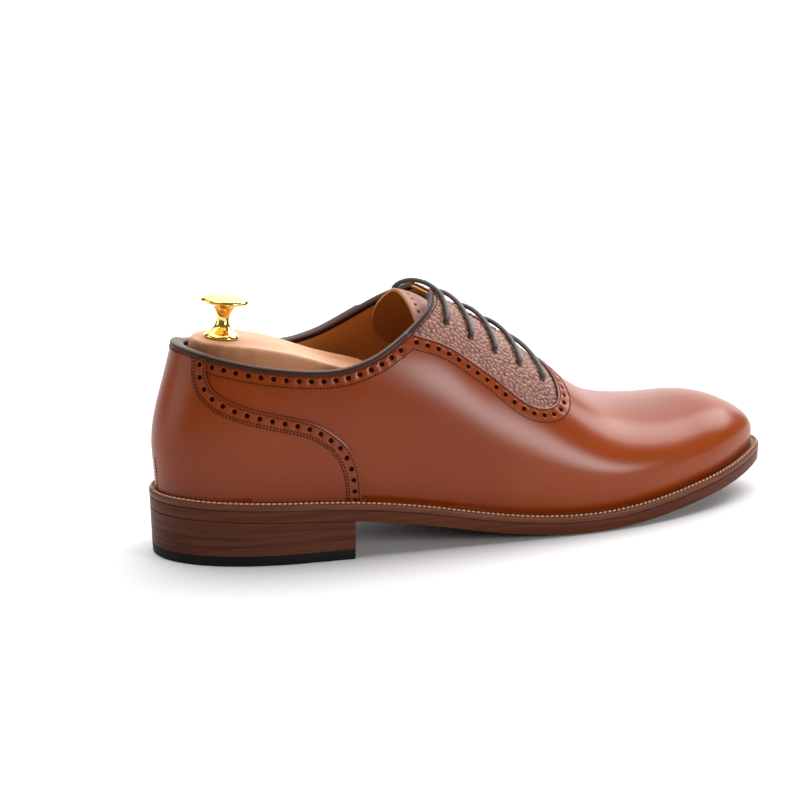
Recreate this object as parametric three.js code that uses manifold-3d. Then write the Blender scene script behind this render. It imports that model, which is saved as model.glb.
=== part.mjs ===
// A man's right leather oxford on its split-toe shoe tree, built the way a welted shoe is built.
// Millimetres, +X to the toe, +Y to the inner (medial) side of the foot, +Z up. Inside this file x = 0 is the
// back of the last; the finished group is moved so that its origin is at the middle of the footprint, on the floor.
// Every leather piece is a layer at a stated distance from one surface, the last, so the layers nest by themselves.

import * as THREE from "three";
import { mergeVertices } from "three/addons/utils/BufferGeometryUtils.js";
import Module from "manifold-3d";

const wasm = await Module();
wasm.setup();

// ---------------------------------------------------------------- driving dimensions
const LAST_LENGTH = 287; // bottom of the last, heel to toe
const BALL_LATERAL = 45.5; // half widths of the last's bottom at the ball, outer and inner side
const BALL_MEDIAL = 42;
const HEEL_ROUND = 52; // length over which the heel end and the toe end close
const TOE_ROUND = 39;
const INSTEP_HEIGHT = 113; // top of the last above the floor where the lacing starts
const SEAT_HEIGHT = 25.3; // top of the outsole above the floor at the back of the heel
const BREAST = 71.5; // heel breast, measured from the back of the last

const GAP = 0.3; // clearance between two formed layers
const GLUE = 0.1; // glue line between two flat layers
const LINING = 1.0; // leather thicknesses
const MIDDLE = 1.0; // stiffener, toe puff, side linings and facings share one layer
const UPPER = 1.2;
const FOXING = 1.1;
const OUTSOLE = 5.5;
const WELT = 3.0;
const INSOLE = 2.6;
const CORK = 2.3;
const SOCK = 1.0;
const WELT_MARGIN = 2.6; // how far the welt and sole stand out beyond the leather

const TOP_PIECE = 4.8; // rubber under the heel
const LIFTS = 4;
const HEEL_TAPER = 0.5; // the heel is this much narrower at the floor, each side
const NAIL_RADIUS = 1.0;

const BINDING_DEPTH = 2.6; // the strip that wraps the top edge
const EYELETS = 5; // on each side
const EYELET_FIRST = 5.8; // from the top of the facings to the first eyelet
const EYELET_PITCH = 14.2;
const EYELET_SPREAD = 23; // from the middle of the lacing out to the eyelets
const EYELET_HOLE = 1.5;
const EYELET_WALL = 0.6;
const EYELET_FLANGE = 1.0;
const LACE_RADIUS = 1.1;
const LACE_GAP_TOP = 19; // opening between the two facings at the top
const LACE_GAP_END = 10; // and where it ends at the vamp

const TREE_CLEARANCE = 2.4; // wood to lining, in the heel
const TREE_FORE_CLEARANCE = 5.5; // wood to lining in front, which leaves room for the tongue
const TREE_SPLIT = 4; // gap between the two toe halves
const SPLIT_Y = 2; // where the toe of the tree is split
const TREE_TRAVEL = 8; // how far the heel block can be pushed towards the toe
const KNOB_RADIUS = 11;
const KNOB_HEIGHT = 20;
const KNOB_LEAN = (6.4 * Math.PI) / 180;
const STUD_RADIUS = 2;
const TUBE_RADIUS = 4.5;
const TUBE_START = 62;
const TUBE_END = 122;
const ROD_RADIUS = 2.6;
const ROD_START = 92;
const ROD_END = 168;
const ROD_Y = -6;
const ROD_Z = 47;
const SPRING_TURNS = 7;
const PIN_RADIUS = 2;

// Offsets of each layer from the last, inner and outer face.
const LINING_LAYER = [0, LINING];
const MIDDLE_LAYER = [LINING + GAP, LINING + GAP + MIDDLE];
const UPPER_LAYER = [MIDDLE_LAYER[1] + GAP, MIDDLE_LAYER[1] + GAP + UPPER];
const FOXING_LAYER = [UPPER_LAYER[1] + GAP, UPPER_LAYER[1] + GAP + FOXING];
// The tongue runs below the lace, and rises at its front end to the vamp lining that it is sewn to.
const TONGUE_RISE_START = 185;
const tongueLayer = [-5.1, -3.55].map((depth) => (x) => depth + 0.37 * Math.max(0, x - TONGUE_RISE_START));

// ---------------------------------------------------------------- curves
// A natural cubic spline through [position, value] knots, level beyond the ends.
function curve(knots) {
  const last = knots.length - 1;
  const bend = knots.map(() => 0);
  const ratio = [0];
  const rest = [0];
  for (let i = 1; i < last; i++) {
    const before = knots[i][0] - knots[i - 1][0];
    const after = knots[i + 1][0] - knots[i][0];
    const rise = (knots[i + 1][1] - knots[i][1]) / after - (knots[i][1] - knots[i - 1][1]) / before;
    const pivot = 2 * (before + after) - before * ratio[i - 1];
    ratio[i] = after / pivot;
    rest[i] = (6 * rise - before * rest[i - 1]) / pivot;
  }
  for (let i = last - 1; i > 0; i--) bend[i] = rest[i] - ratio[i] * bend[i + 1];
  return (position) => {
    const at = Math.min(Math.max(position, knots[0][0]), knots[last][0]);
    let i = 0;
    while (i < last - 1 && at > knots[i + 1][0]) i++;
    const span = knots[i + 1][0] - knots[i][0];
    const a = (knots[i + 1][0] - at) / span;
    const b = 1 - a;
    const cubic = (a ** 3 - a) * bend[i] + (b ** 3 - b) * bend[i + 1];
    return a * knots[i][1] + b * knots[i + 1][1] + (cubic * span * span) / 6;
  };
}

// ---------------------------------------------------------------- the last
// Positions along the shoe are shares of the last's length, t = 0 at the heel and 1 at the toe.
const lateralShape = curve([[0, 0.66], [0.13, 0.71], [0.27, 0.8], [0.42, 0.855], [0.56, 0.912],
  [0.68, 0.928], [0.78, 0.842], [0.88, 0.65], [1, 0.4]]);
const medialShape = curve([[0, 0.69], [0.13, 0.7], [0.27, 0.64], [0.42, 0.63], [0.56, 0.79], [0.7, 1],
  [0.8, 0.97], [0.9, 0.83], [1, 0.66]]);
const bottomDrop = curve([[0, 1.1], [0.13, -0.2], [0.26, -2.8], [0.38, -8.4], [0.48, -14.4], [0.58, -18.4],
  [0.68, -19.2], [0.76, -17.4], [0.88, -12.7], [1, -6.4]]);
const lateralBulge = curve([[0, 2.5], [0.15, 2.5], [0.35, 4], [0.5, 4.5], [0.7, 4], [0.85, 3], [1, 2]]);
const medialBulge = curve([[0, 2.5], [0.15, 3], [0.35, 8], [0.5, 8], [0.7, 4], [0.85, 3], [1, 2]]);
const bulgeRise = curve([[0, 19], [0.2, 20], [0.4, 24], [0.55, 17], [0.7, 12.5], [0.85, 9.5], [1, 8]]);
// Height of the top of the last as a share of the instep height.
const topShape = curve([[0, 1.08], [0.2, 1.065], [0.34, 1.03], [0.42, 0.98], [0.48, 0.88], [0.55, 0.762],
  [0.62, 0.611], [0.7, 0.455], [0.78, 0.392], [0.86, 0.379], [0.94, 0.382], [1, 0.352]]);
const topLean = curve([[0, -0.5], [0.35, 0.7], [0.5, 3], [0.65, 5.8], [0.8, 5.7], [0.92, 3.8], [1, 2]]);
const sideRoundness = curve([[0, 2.6], [0.3, 2.6], [0.45, 1.9], [0.6, 1.75], [0.75, 1.9], [1, 2.1]]);
const heelBack = curve([[0, -0.8], [10, -1.4], [20, -1.9], [34, 0.4], [50, 5], [68, 9.6], [95, 18.5]]);
const HEEL_BACK_REACH = 85; // the shape of the heel's back fades out over this length
const TOE_EDGE = 0.29; // share of the toe's height that is left at its very tip

const endCap = (distance, length, power) => {
  const left = Math.max(0, 1 - distance / length);
  return Math.sqrt(Math.max(0, 1 - left ** power));
};
const plan = (x) => endCap(x, HEEL_ROUND, 2.2) * endCap(LAST_LENGTH - x, TOE_ROUND, 2.3);
const soleTop = (x) => SEAT_HEIGHT + bottomDrop(x / LAST_LENGTH);
const FEATHER_RISE = GLUE + CORK + GLUE + INSOLE; // from the outsole up to the top edge of the insole
const WALL_SHARE = 0.08; // shares of a section's parameter: the wall beside the insole, then up to the bulge
const BULGE_SHARE = 0.3;
const WALL_FOOT = 0.3; // the leather starts this far above the outsole

// A point of the last: x along it, side -1 lateral or 1 medial, v from 0 at the sole to 1 at the top.
function lastPoint(x, side, v) {
  const t = x / LAST_LENGTH;
  const close = plan(x);
  const half = side < 0 ? BALL_LATERAL * lateralShape(t) : BALL_MEDIAL * medialShape(t);
  const swell = side < 0 ? lateralBulge(t) : medialBulge(t);
  const featherY = side * half * close;
  const bulgeY = side * (half + swell) * close;
  const featherZ = soleTop(x) + FEATHER_RISE;
  const toeClose = TOE_EDGE + (1 - TOE_EDGE) * endCap(LAST_LENGTH - x, TOE_ROUND, 2.3);
  const topZ = featherZ + (INSTEP_HEIGHT * topShape(t) - featherZ) * toeClose;
  const bulgeZ = featherZ + bulgeRise(t) * toeClose;
  let y = featherY;
  let z = featherZ;
  if (v < WALL_SHARE) {
    z = soleTop(x) + WALL_FOOT + (FEATHER_RISE - WALL_FOOT) * (v / WALL_SHARE);
  } else if (v < BULGE_SHARE) {
    const s = (v - WALL_SHARE) / (BULGE_SHARE - WALL_SHARE);
    y = featherY + (bulgeY - featherY) * (1 - (1 - s) ** 2);
    z = featherZ + (bulgeZ - featherZ) * s;
  } else {
    const turn = (((v - BULGE_SHARE) / (1 - BULGE_SHARE)) * Math.PI) / 2;
    const topY = topLean(t);
    y = topY + (bulgeY - topY) * Math.cos(Math.min(turn, Math.PI / 2));
    z = bulgeZ + (topZ - bulgeZ) * Math.sin(turn) ** (2 / sideRoundness(t));
  }
  const fade = Math.max(0, 1 - x / HEEL_BACK_REACH) ** 2;
  return new THREE.Vector3(x + heelBack(Math.max(0, z - featherZ)) * fade, y, z);
}

// Stations are evenly spaced in an angle, so both rounded ends are finely divided.
const stationX = (u) => (LAST_LENGTH / 2) * (1 - Math.cos(Math.PI * u));
const STEP = 0.004;

// The same point by station angle, running on round the heel and the toe and over the top.
function formed(u, side, v) {
  let at = u;
  let on = side;
  let up = v;
  if (up > 1) [up, on] = [2 - up, -on];
  if (at < 0) [at, on] = [-at, -on];
  if (at > 1) [at, on] = [2 - at, -on];
  return lastPoint(stationX(at), on, Math.max(0, up));
}

// The outward normal. Below the bulge's foot the wall is upright, so its normal is level.
function normalAt(u, side, v) {
  const up = Math.min(Math.max(v, WALL_SHARE + STEP), 1 - STEP);
  const along = formed(u + STEP, side, up).sub(formed(u - STEP, side, up));
  const over = formed(u, side, up + STEP).sub(formed(u, side, up - STEP));
  const normal = along.cross(over).multiplyScalar(-side).normalize();
  if (v <= WALL_SHARE) normal.setZ(0).normalize();
  if (v >= 1) normal.setY(0).normalize();
  return normal;
}
const offsetPoint = (u, side, v, distance) =>
  formed(u, side, v).addScaledVector(normalAt(u, side, v), distance);

// ---------------------------------------------------------------- solids
// A closed mesh from points and quads or triangles, with shared points merged and empty faces dropped.
function solidFrom(points, faces) {
  const key = (p) => [p.x, p.y, p.z].map((c) => Math.round(c * 1e4)).join();
  const index = new Map();
  const unique = [];
  const place = points.map((p) => {
    const k = key(p);
    if (!index.has(k)) index.set(k, unique.push(p) - 1);
    return index.get(k);
  });
  const triVerts = [];
  for (const face of faces) {
    const ring = face.map((i) => place[i]);
    for (let i = 1; i + 1 < ring.length; i++) {
      const tri = [ring[0], ring[i], ring[i + 1]];
      if (new Set(tri).size === 3) triVerts.push(...tri);
    }
  }
  const vertProperties = new Float32Array(unique.flatMap((p) => [p.x, p.y, p.z]));
  return new wasm.Manifold(new wasm.Mesh({ numProp: 3, vertProperties, triVerts: new Uint32Array(triVerts) }));
}

// A closed three.js geometry as a solid.
function solidOf(geometry) {
  const bare = geometry.clone();
  bare.deleteAttribute("normal");
  bare.deleteAttribute("uv");
  const merged = mergeVertices(bare, 1e-4);
  return new wasm.Manifold(new wasm.Mesh({
    numProp: 3,
    vertProperties: merged.attributes.position.array,
    triVerts: new Uint32Array(merged.index.array),
  }));
}

const STATIONS = 32;
const RISE = [0, 0.08, 0.18, 0.3, 0.4, 0.5, 0.61, 0.72, 0.82, 0.91, 1];

// The last swollen by a distance, which may be a function of the position along it, and closed underneath at
// the given depth below its own foot.
function lastSolid(distance, depth = 0, stations = STATIONS, rise = RISE) {
  const swell = typeof distance === "function" ? distance : () => distance;
  const points = [];
  const faces = [];
  const across = 2 * rise.length;
  for (let i = 0; i <= stations; i++) {
    const u = i / stations;
    const end = i === 0 || i === stations;
    for (let j = 0; j < across; j++) {
      const side = j < rise.length ? -1 : 1;
      const v = side < 0 ? rise[j] : rise[across - 1 - j];
      const p = offsetPoint(u, v === 1 ? 1 : side, v, swell(stationX(u)));
      if (end) p.y = 0;
      if (v === 0) p.z = soleTop(p.x) + WALL_FOOT - depth;
      points.push(p);
    }
  }
  const at = (i, j) => i * across + (j % across);
  for (let i = 0; i < stations; i++)
    for (let j = 0; j < across; j++) faces.push([at(i, j), at(i + 1, j), at(i + 1, j + 1), at(i, j + 1)]);
  return solidFrom(points, faces);
}

// The space between two offsets of the last, open underneath.
const shell = ([inner, outer]) => lastSolid(outer).subtract(lastSolid(inner, 12));

// An outline in side view, pushed across the shoe between two widths. Points are [x, z].
function sideCut(outline, from = -70, to = 70) {
  const shape = new THREE.Shape(outline.map(([x, z]) => new THREE.Vector2(x, z)));
  const geometry = new THREE.ExtrudeGeometry(shape, { depth: to - from, bevelEnabled: false });
  return solidOf(geometry.rotateX(Math.PI / 2).translate(0, to, 0));
}

// An outline seen from above, pushed up between two heights. Points are [x, y].
function planCut(outline, from, to) {
  const shape = new THREE.Shape(outline.map(([x, y]) => new THREE.Vector2(x, y)));
  return solidOf(new THREE.ExtrudeGeometry(shape, { depth: to - from, bevelEnabled: false }).translate(0, 0, from));
}

const steps = (from, to, count) => Array.from({ length: count + 1 }, (_, i) => from + ((to - from) * i) / count);
const FAR = 400;
const eyeletRow = (k) => EYELET_FIRST + (k - 1) * EYELET_PITCH;

// A flat piece under the foot, between two heights, that follows the last's outline at two margins beyond it.
// The height functions are given the position and the share across, from -1 lateral to 1 medial.
function slab(bottomMargin, topMargin, bottom, top, stations = STATIONS, across = 6) {
  const points = [];
  const faces = [];
  const row = across + 1;
  for (let i = 0; i <= stations; i++) {
    for (const [margin, height] of [[bottomMargin, bottom], [topMargin, top]]) {
      const outer = offsetPoint(i / stations, -1, WALL_SHARE, margin);
      const inner = offsetPoint(i / stations, 1, WALL_SHARE, margin);
      if (i === 0 || i === stations) [outer.y, inner.y] = [0, 0];
      for (let j = 0; j < row; j++) {
        const p = outer.clone().lerp(inner, j / across);
        points.push(p.setZ(height(p.x, (2 * j) / across - 1)));
      }
    }
  }
  const at = (i, layer, j) => (i * 2 + layer) * row + j;
  for (let i = 0; i < stations; i++) {
    for (let j = 0; j < across; j++) {
      faces.push([at(i, 0, j), at(i, 0, j + 1), at(i + 1, 0, j + 1), at(i + 1, 0, j)]);
      faces.push([at(i, 1, j), at(i + 1, 1, j), at(i + 1, 1, j + 1), at(i, 1, j + 1)]);
    }
    faces.push([at(i, 0, 0), at(i + 1, 0, 0), at(i + 1, 1, 0), at(i, 1, 0)]);
    faces.push([at(i, 0, across), at(i, 1, across), at(i + 1, 1, across), at(i + 1, 0, across)]);
  }
  return solidFrom(points, faces);
}

function box(x, y, z) {
  const geometry = new THREE.BoxGeometry(x[1] - x[0], y[1] - y[0], z[1] - z[0]);
  return solidOf(geometry.translate((x[0] + x[1]) / 2, (y[0] + y[1]) / 2, (z[0] + z[1]) / 2));
}

// A turned part from a profile of [radius, height] points, standing on a point and turned to a direction.
function turned(profile, segments, position, direction) {
  const geometry = new THREE.LatheGeometry(profile.map(([r, z]) => new THREE.Vector2(r, z)), segments);
  geometry.applyQuaternion(new THREE.Quaternion().setFromUnitVectors(new THREE.Vector3(0, 1, 0), direction));
  return solidOf(geometry.translate(position.x, position.y, position.z));
}

// A round strand through a list of points, closed at both ends.
function strand(path, radius, lengthways, sides) {
  const line = new THREE.CatmullRomCurve3(path, false, "centripetal");
  const frames = line.computeFrenetFrames(lengthways, false);
  const points = [];
  const faces = [];
  for (let i = 0; i <= lengthways; i++) {
    const centre = line.getPointAt(i / lengthways);
    for (let j = 0; j < sides; j++) {
      const angle = (2 * Math.PI * j) / sides;
      points.push(centre.clone().addScaledVector(frames.normals[i], radius * Math.cos(angle))
        .addScaledVector(frames.binormals[i], radius * Math.sin(angle)));
    }
  }
  const at = (i, j) => i * sides + (j % sides);
  for (let i = 0; i < lengthways; i++)
    for (let j = 0; j < sides; j++) faces.push([at(i, j), at(i, j + 1), at(i + 1, j + 1), at(i + 1, j)]);
  faces.push(Array.from({ length: sides }, (_, j) => at(0, sides - 1 - j)));
  faces.push(Array.from({ length: sides }, (_, j) => at(lengthways, j)));
  return solidFrom(points, faces);
}

// ---------------------------------------------------------------- pattern lines on the upper
// Lines are drawn in side view as [x, z] points. A positive growth moves a line to the left of its run.
function grown(points, growth, count) {
  const line = new THREE.SplineCurve(points.map(([x, z]) => new THREE.Vector2(x, z)));
  return steps(0, 1, count).map((share) => {
    const p = line.getPoint(share);
    const along = line.getTangent(share);
    return [p.x - along.y * growth, p.y + along.x * growth];
  });
}

// The top edge of the shoe, from the heel to the top of the facings, which it closes off in a steep rise.
const lateralTop = [[-14, 97.5], [5, 95.8], [15, 93.4], [30, 90.2], [45, 87.9], [59, 86.7], [70, 87.4], [82, 90.7],
  [91, 94.8], [99, 99], [107, 103.3], [113, 106.4], [118, 109.2], [121.5, 113], [123.5, 118], [124.5, 126]];
const medialTop = [[-14, 97.5], [5, 95.8], [15, 93.2], [30, 89.6], [45, 86.9], [59, 85.4], [70, 85.6], [82, 88.6],
  [91, 92.8], [99, 97.4], [107, 102.6], [113, 106.2], [118, 109.2], [121.5, 113], [123.5, 118], [124.5, 126]];
function belowTop(depth) {
  const half = (line, from, to) => {
    const edge = grown(line, -depth, 34);
    return sideCut([[-30, -20], [FAR, -20], [FAR, 170], [edge.at(-1)[0], 170], ...edge.reverse(), [-30, edge.at(-1)[1]]], from, to);
  };
  return half(lateralTop, -80, 0).add(half(medialTop, 0, 80));
}

// The front edge of the heel foxing: down from the top edge, forward, then down to the welt.
const foxingEdge = [[11.5, 102], [11.9, 92], [11.2, 85], [13, 78.9], [18, 74.9], [26.1, 71.5], [37.3, 68.5], [50.2, 65.1],
  [58.9, 60.8], [66.8, 53.9], [71.3, 46.4], [74.1, 36.8], [76, 20]];
const foxingRegion = (growth) => sideCut([[-40, 0], [-40, 125], [5, 125], ...grown(foxingEdge, growth, 30), [70, 0]]);

// The edge of the smooth leather round the facings, a long U that runs from the top edge to the vamp.
const facingEdge = [[88, 103.5], [97, 100.5], [103, 98.3], [108, 96.4], [116, 93.4], [124, 88.8], [132, 82.7], [139.5, 77],
  [147, 70.4], [154, 64.2], [160, 60.6], [166, 58.9], [171.4, 59], [175.2, 61], [177.7, 64], [179.5, 68], [181, 73], [182, 84]];
const facingRegion = (growth) => sideCut([[88, 170], ...grown(facingEdge, -growth, 44), [182 + growth, 170]]);
const UNDERLAP = 8; // how far the facings run on under the smooth leather

// The lacing lies on a sloping plane: s runs down it from the top of the facings, y across the shoe.
const LACING_TILT = (35 * Math.PI) / 180;
const LACING_TOP = new THREE.Vector3(124, -1, 111);
const GAP_END = 68; // how far down the gap between the facings runs
const lacing = new THREE.Matrix4().makeRotationY(LACING_TILT).setPosition(LACING_TOP);
const gapHalf = (s) => LACE_GAP_TOP / 2 + ((LACE_GAP_END - LACE_GAP_TOP) / 2) * (s / GAP_END);
function gapCut(extra) {
  const down = [-45, 0, 22, 44, GAP_END - 4];
  const outline = [...down.map((s) => [s, gapHalf(s) + extra]), [GAP_END - 1.5, 3], [GAP_END, 0], [GAP_END - 1.5, -3],
    ...down.reverse().map((s) => [s, -gapHalf(s) - extra])];
  const shape = new THREE.Shape(outline.map(([s, y]) => new THREE.Vector2(s, y)));
  const geometry = new THREE.ExtrudeGeometry(shape, { depth: 80, bevelEnabled: false });
  return solidOf(geometry.translate(0, 0, -25).applyMatrix4(lacing));
}

// The station, side and height on the last that lie over a point of the lacing plane, found by Newton's method.
const toLacing = lacing.clone().invert();
function lacingSeat(s, y) {
  const at = ([u, w]) => formed(u, w < 0 ? -1 : 1, 1 - Math.abs(w)).applyMatrix4(toLacing);
  const x = LACING_TOP.x + s * Math.cos(LACING_TILT);
  const seat = [Math.acos(1 - (2 * x) / LAST_LENGTH) / Math.PI, y / 70];
  const nudge = 1e-4;
  for (let round = 0; round < 12; round++) {
    const now = at(seat);
    const byU = at([seat[0] + nudge, seat[1]]).sub(now).divideScalar(nudge);
    const byW = at([seat[0], seat[1] + nudge]).sub(now).divideScalar(nudge);
    const det = byU.x * byW.y - byW.x * byU.y;
    const [missS, missY] = [s - now.x, y - now.y];
    seat[0] += (missS * byW.y - byW.x * missY) / det;
    seat[1] += (byU.x * missY - byU.y * missS) / det;
  }
  return [seat[0], seat[1] < 0 ? -1 : 1, 1 - Math.abs(seat[1])];
}
const lacingPoint = (s, y, distance) => offsetPoint(...lacingSeat(s, y), distance);
const lacingNormal = (s, y) => normalAt(...lacingSeat(s, y));

// ---------------------------------------------------------------- the parts
const group = new THREE.Group();
const material = (color, roughness, metalness = 0) => new THREE.MeshStandardMaterial({ color, roughness, metalness });
const finish = {
  upper: material(0x8e3f17, 0.35),
  facing: material(0xa0644c, 0.6),
  lining: material(0x9a5a20, 0.7),
  binding: material(0x4a3a36, 0.55),
  stiffener: material(0xb8946a, 0.9),
  sole: material(0x7a4a32, 0.5),
  lift: material(0x70402c, 0.5),
  rubber: material(0x2a2426, 0.8),
  cork: material(0x9a7a50, 0.95),
  steel: material(0x9a9a9e, 0.35, 1),
  brass: material(0xe0b84a, 0.2, 1),
  wood: material(0xd8a488, 0.6),
  lace: material(0x35302e, 0.7),
};

// Adds a solid to the group as one named mesh, less the points that flat or nearly flat areas can spare.
function add(name, solid, look) {
  const mesh = solid.simplify(0.02).getMesh();
  const geometry = new THREE.BufferGeometry();
  geometry.setAttribute("position", new THREE.BufferAttribute(mesh.vertProperties, mesh.numProp));
  geometry.setIndex(new THREE.BufferAttribute(mesh.triVerts, 1));
  const part = new THREE.Mesh(geometry, look);
  part.name = name;
  group.add(part);
}

// ---------------------------------------------------------------- under the foot
const crown = curve([[0, 0], [0.27, 0], [0.4, 0.15], [0.55, 0.35], [0.7, 0.45], [0.85, 0.4], [1, 0.2]]);
const SOLE_MARGIN = FOXING_LAYER[1] + WELT_MARGIN;
const outsoleBottom = (x, share) => soleTop(x) - OUTSOLE - crown(x / LAST_LENGTH) * (1 - share ** 2);
const above = (height) => (x) => soleTop(x) + height;
const INSOLE_TOP = FEATHER_RISE;

add("outsole", slab(SOLE_MARGIN - 0.4, SOLE_MARGIN, outsoleBottom, (x) => soleTop(x)), finish.sole);

const fitted = lastSolid(UPPER_LAYER[1] + GAP, 2).add(lastSolid(FOXING_LAYER[1] + GAP, 2).intersect(foxingRegion(1)));
add("welt", slab(SOLE_MARGIN, SOLE_MARGIN, above(GLUE), above(GLUE + WELT), STATIONS, 1).subtract(fitted), finish.sole);

const heelSide = box([-60, BREAST], [-80, 80], [-5, 60]);
const liftFloor = (k) => (x) => TOP_PIECE + (k / LIFTS) * (outsoleBottom(x, 1) - TOP_PIECE);
const heelMargin = (k) => SOLE_MARGIN - 0.3 - HEEL_TAPER * (1 - k / LIFTS);
for (let k = 0; k < LIFTS; k++) {
  const lift = slab(heelMargin(k), heelMargin(k + 1), liftFloor(k), (x) => liftFloor(k + 1)(x) - GLUE, 28, 1);
  add(`heel_lift_${k + 1}`, lift.intersect(heelSide), finish.lift);
}
const NAILS = [[16, 0], [34, -16], [34, 16], [58, -18], [58, 17]];
let topPiece = slab(heelMargin(0) - 0.3, heelMargin(0), () => 0, () => TOP_PIECE - GLUE, 28, 1).intersect(heelSide);
const up = new THREE.Vector3(0, 0, 1);
NAILS.forEach(([x, y], k) => {
  const at = new THREE.Vector3(x, y, 0.5);
  topPiece = topPiece.subtract(turned([[0, -2], [NAIL_RADIUS + 0.15, -2], [NAIL_RADIUS + 0.15, 3.1], [0, 3.1]], 12, at, up));
  add(`heel_nail_${k + 1}`, turned([[0, 0], [NAIL_RADIUS, 0], [NAIL_RADIUS, 2.9], [0, 2.9]], 12, at, up), finish.brass);
});
add("rubber_top_piece", topPiece, finish.rubber);

add("insole", slab(-GAP, -GAP, above(GLUE + CORK + GLUE), above(INSOLE_TOP), STATIONS, 1), finish.stiffener);
const shankSpace = (grow) => box([46 - grow, 170 + grow], [-7 - grow, 7 + grow], [-10, 60]);
const corkLayer = slab(-1.5, -1.5, above(GLUE), above(GLUE + CORK), STATIONS, 1);
add("cork_filler", corkLayer.subtract(shankSpace(0.3)), finish.cork);
add("shank", slab(-1.5, -1.5, above(GLUE), above(GLUE + 1.4), STATIONS, 1).intersect(shankSpace(0)), finish.steel);
add("sock_lining", slab(-0.9, -0.5, above(INSOLE_TOP + GLUE), above(INSOLE_TOP + GLUE + SOCK), STATIONS, 1), finish.lining);

// ---------------------------------------------------------------- the upper
const cutEdge = belowTop(BINDING_DEPTH + GAP); // the leathers stop just under the binding
const eyelets = [];
for (const side of [-1, 1])
  for (let k = 1; k <= EYELETS; k++)
    eyelets.push({ name: `eyelet_${side < 0 ? "lateral" : "medial"}_${k}`, s: eyeletRow(k), y: side * EYELET_SPREAD });
const barrel = EYELET_HOLE + EYELET_WALL;
const flange = barrel + EYELET_FLANGE;
const punched = eyelets.map(({ s, y }) => turned([[0, -6], [flange + 0.3, -6], [flange + 0.3, -0.2], [barrel + 0.2, -0.2],
  [barrel + 0.2, 6], [0, 6]], 10, lacingPoint(s, y, 0), lacingNormal(s, y))).reduce((all, one) => all.add(one));

add("vamp_and_quarters", shell(UPPER_LAYER).intersect(cutEdge).subtract(facingRegion(0)), finish.upper);
add("heel_foxing", shell(FOXING_LAYER).intersect(cutEdge).intersect(foxingRegion(0)), finish.upper);

const middle = shell(MIDDLE_LAYER).intersect(cutEdge);
const facings = middle.intersect(facingRegion(UNDERLAP)).subtract(gapCut(0)).subtract(punched);
const sideOf = (side, y = 0) => (side < 0 ? box([-60, 360], [-90, y], [-20, 200]) : box([-60, 360], [y, 90], [-20, 200]));
add("facing_lateral", facings.intersect(sideOf(-1, LACING_TOP.y)), finish.facing);
add("facing_medial", facings.intersect(sideOf(1, LACING_TOP.y)), finish.facing);
add("heel_stiffener", middle.intersect(box([-20, 76], [-80, 80], [0, 68])), finish.stiffener);
add("toe_puff", middle.intersect(box([236, 320], [-80, 80], [0, 100])), finish.stiffener);
const sides = middle.intersect(box([76.5, 235], [-80, 80], [0, 60])).subtract(facingRegion(UNDERLAP + 1));
add("side_stiffener_lateral", sides.intersect(sideOf(-1)), finish.stiffener);
add("side_stiffener_medial", sides.intersect(sideOf(1)), finish.stiffener);

const lining = shell(LINING_LAYER).intersect(cutEdge);
const quarterRegion = sideCut([[-40, 0], [152, 0], [152, 20], [193, 90], [193, 170], [-40, 170]]);
const vampRegion = sideCut([[152.5, 0], [152.5, 20], [193.5, 90], [330, 90], [330, 0]]);
add("quarter_lining", lining.intersect(quarterRegion).subtract(gapCut(0)).subtract(punched), finish.lining);
add("vamp_lining", lining.intersect(vampRegion), finish.lining);

const strip = belowTop(0).subtract(belowTop(BINDING_DEPTH)).intersect(box([-40, 128], [-80, 80], [0, 150]));
const bindingBody = shell([-0.1, UPPER_LAYER[1] + 0.2])
  .add(shell([1, FOXING_LAYER[1] + 0.2]).intersect(foxingRegion(0.6)));
add("topline_binding", bindingBody.intersect(strip).subtract(gapCut(0)), finish.binding);

const tongueRegion = (end, from, to) => sideCut([[194, 130], [109.6, 130], ...end, [120, 77.5], [140, 64], [158, 51],
  [176, 41], [189, 39], [194, 48]], from, to);
const tongueShape = tongueRegion([[109.8, 108], [110, 100], [110.6, 92], [113.5, 84]], -80, 0)
  .add(tongueRegion([[109.2, 108], [106.4, 100], [106.2, 93], [108.2, 86.6], [112.4, 82.4]], 0, 80));
add("tongue", shell(tongueLayer).intersect(tongueShape), finish.upper);

// ---------------------------------------------------------------- lacing
eyelets.forEach(({ name, s, y }) => {
  const profile = [[EYELET_HOLE, -0.8], [flange, -0.8], [flange, -0.45], [barrel, -0.45], [barrel, 2.2], [EYELET_HOLE, 2.2],
    [EYELET_HOLE, -0.8]];
  add(name, turned(profile, 12, lacingPoint(s, y, 0), lacingNormal(s, y)), finish.steel);
});

const TOP_RUN = MIDDLE_LAYER[1] + 0.35 + LACE_RADIUS; // height of the lace's middle over the facings
const INNER_RUN = -1.05 - LACE_RADIUS; // and inside the shoe
const quarterTurn = [0, 30, 60, 90].map((angle) => (angle * Math.PI) / 180);

// The lace's bends at an eyelet, from the outer run, which leaves along one direction, to the inner run along another.
function throughEyelet(s, y, outer, inner) {
  const point = ([ds, dy], reach, height) => lacingPoint(s + ds * reach, y + dy * reach, height);
  const over = quarterTurn.map((a) => point(outer, EYELET_HOLE * (1 - Math.sin(a)), TOP_RUN - EYELET_HOLE * (1 - Math.cos(a))));
  const under = quarterTurn.map((a) => point(inner, EYELET_HOLE * (1 - Math.cos(a)), INNER_RUN + EYELET_HOLE * (1 - Math.sin(a))));
  return [...over, ...under];
}
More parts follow.
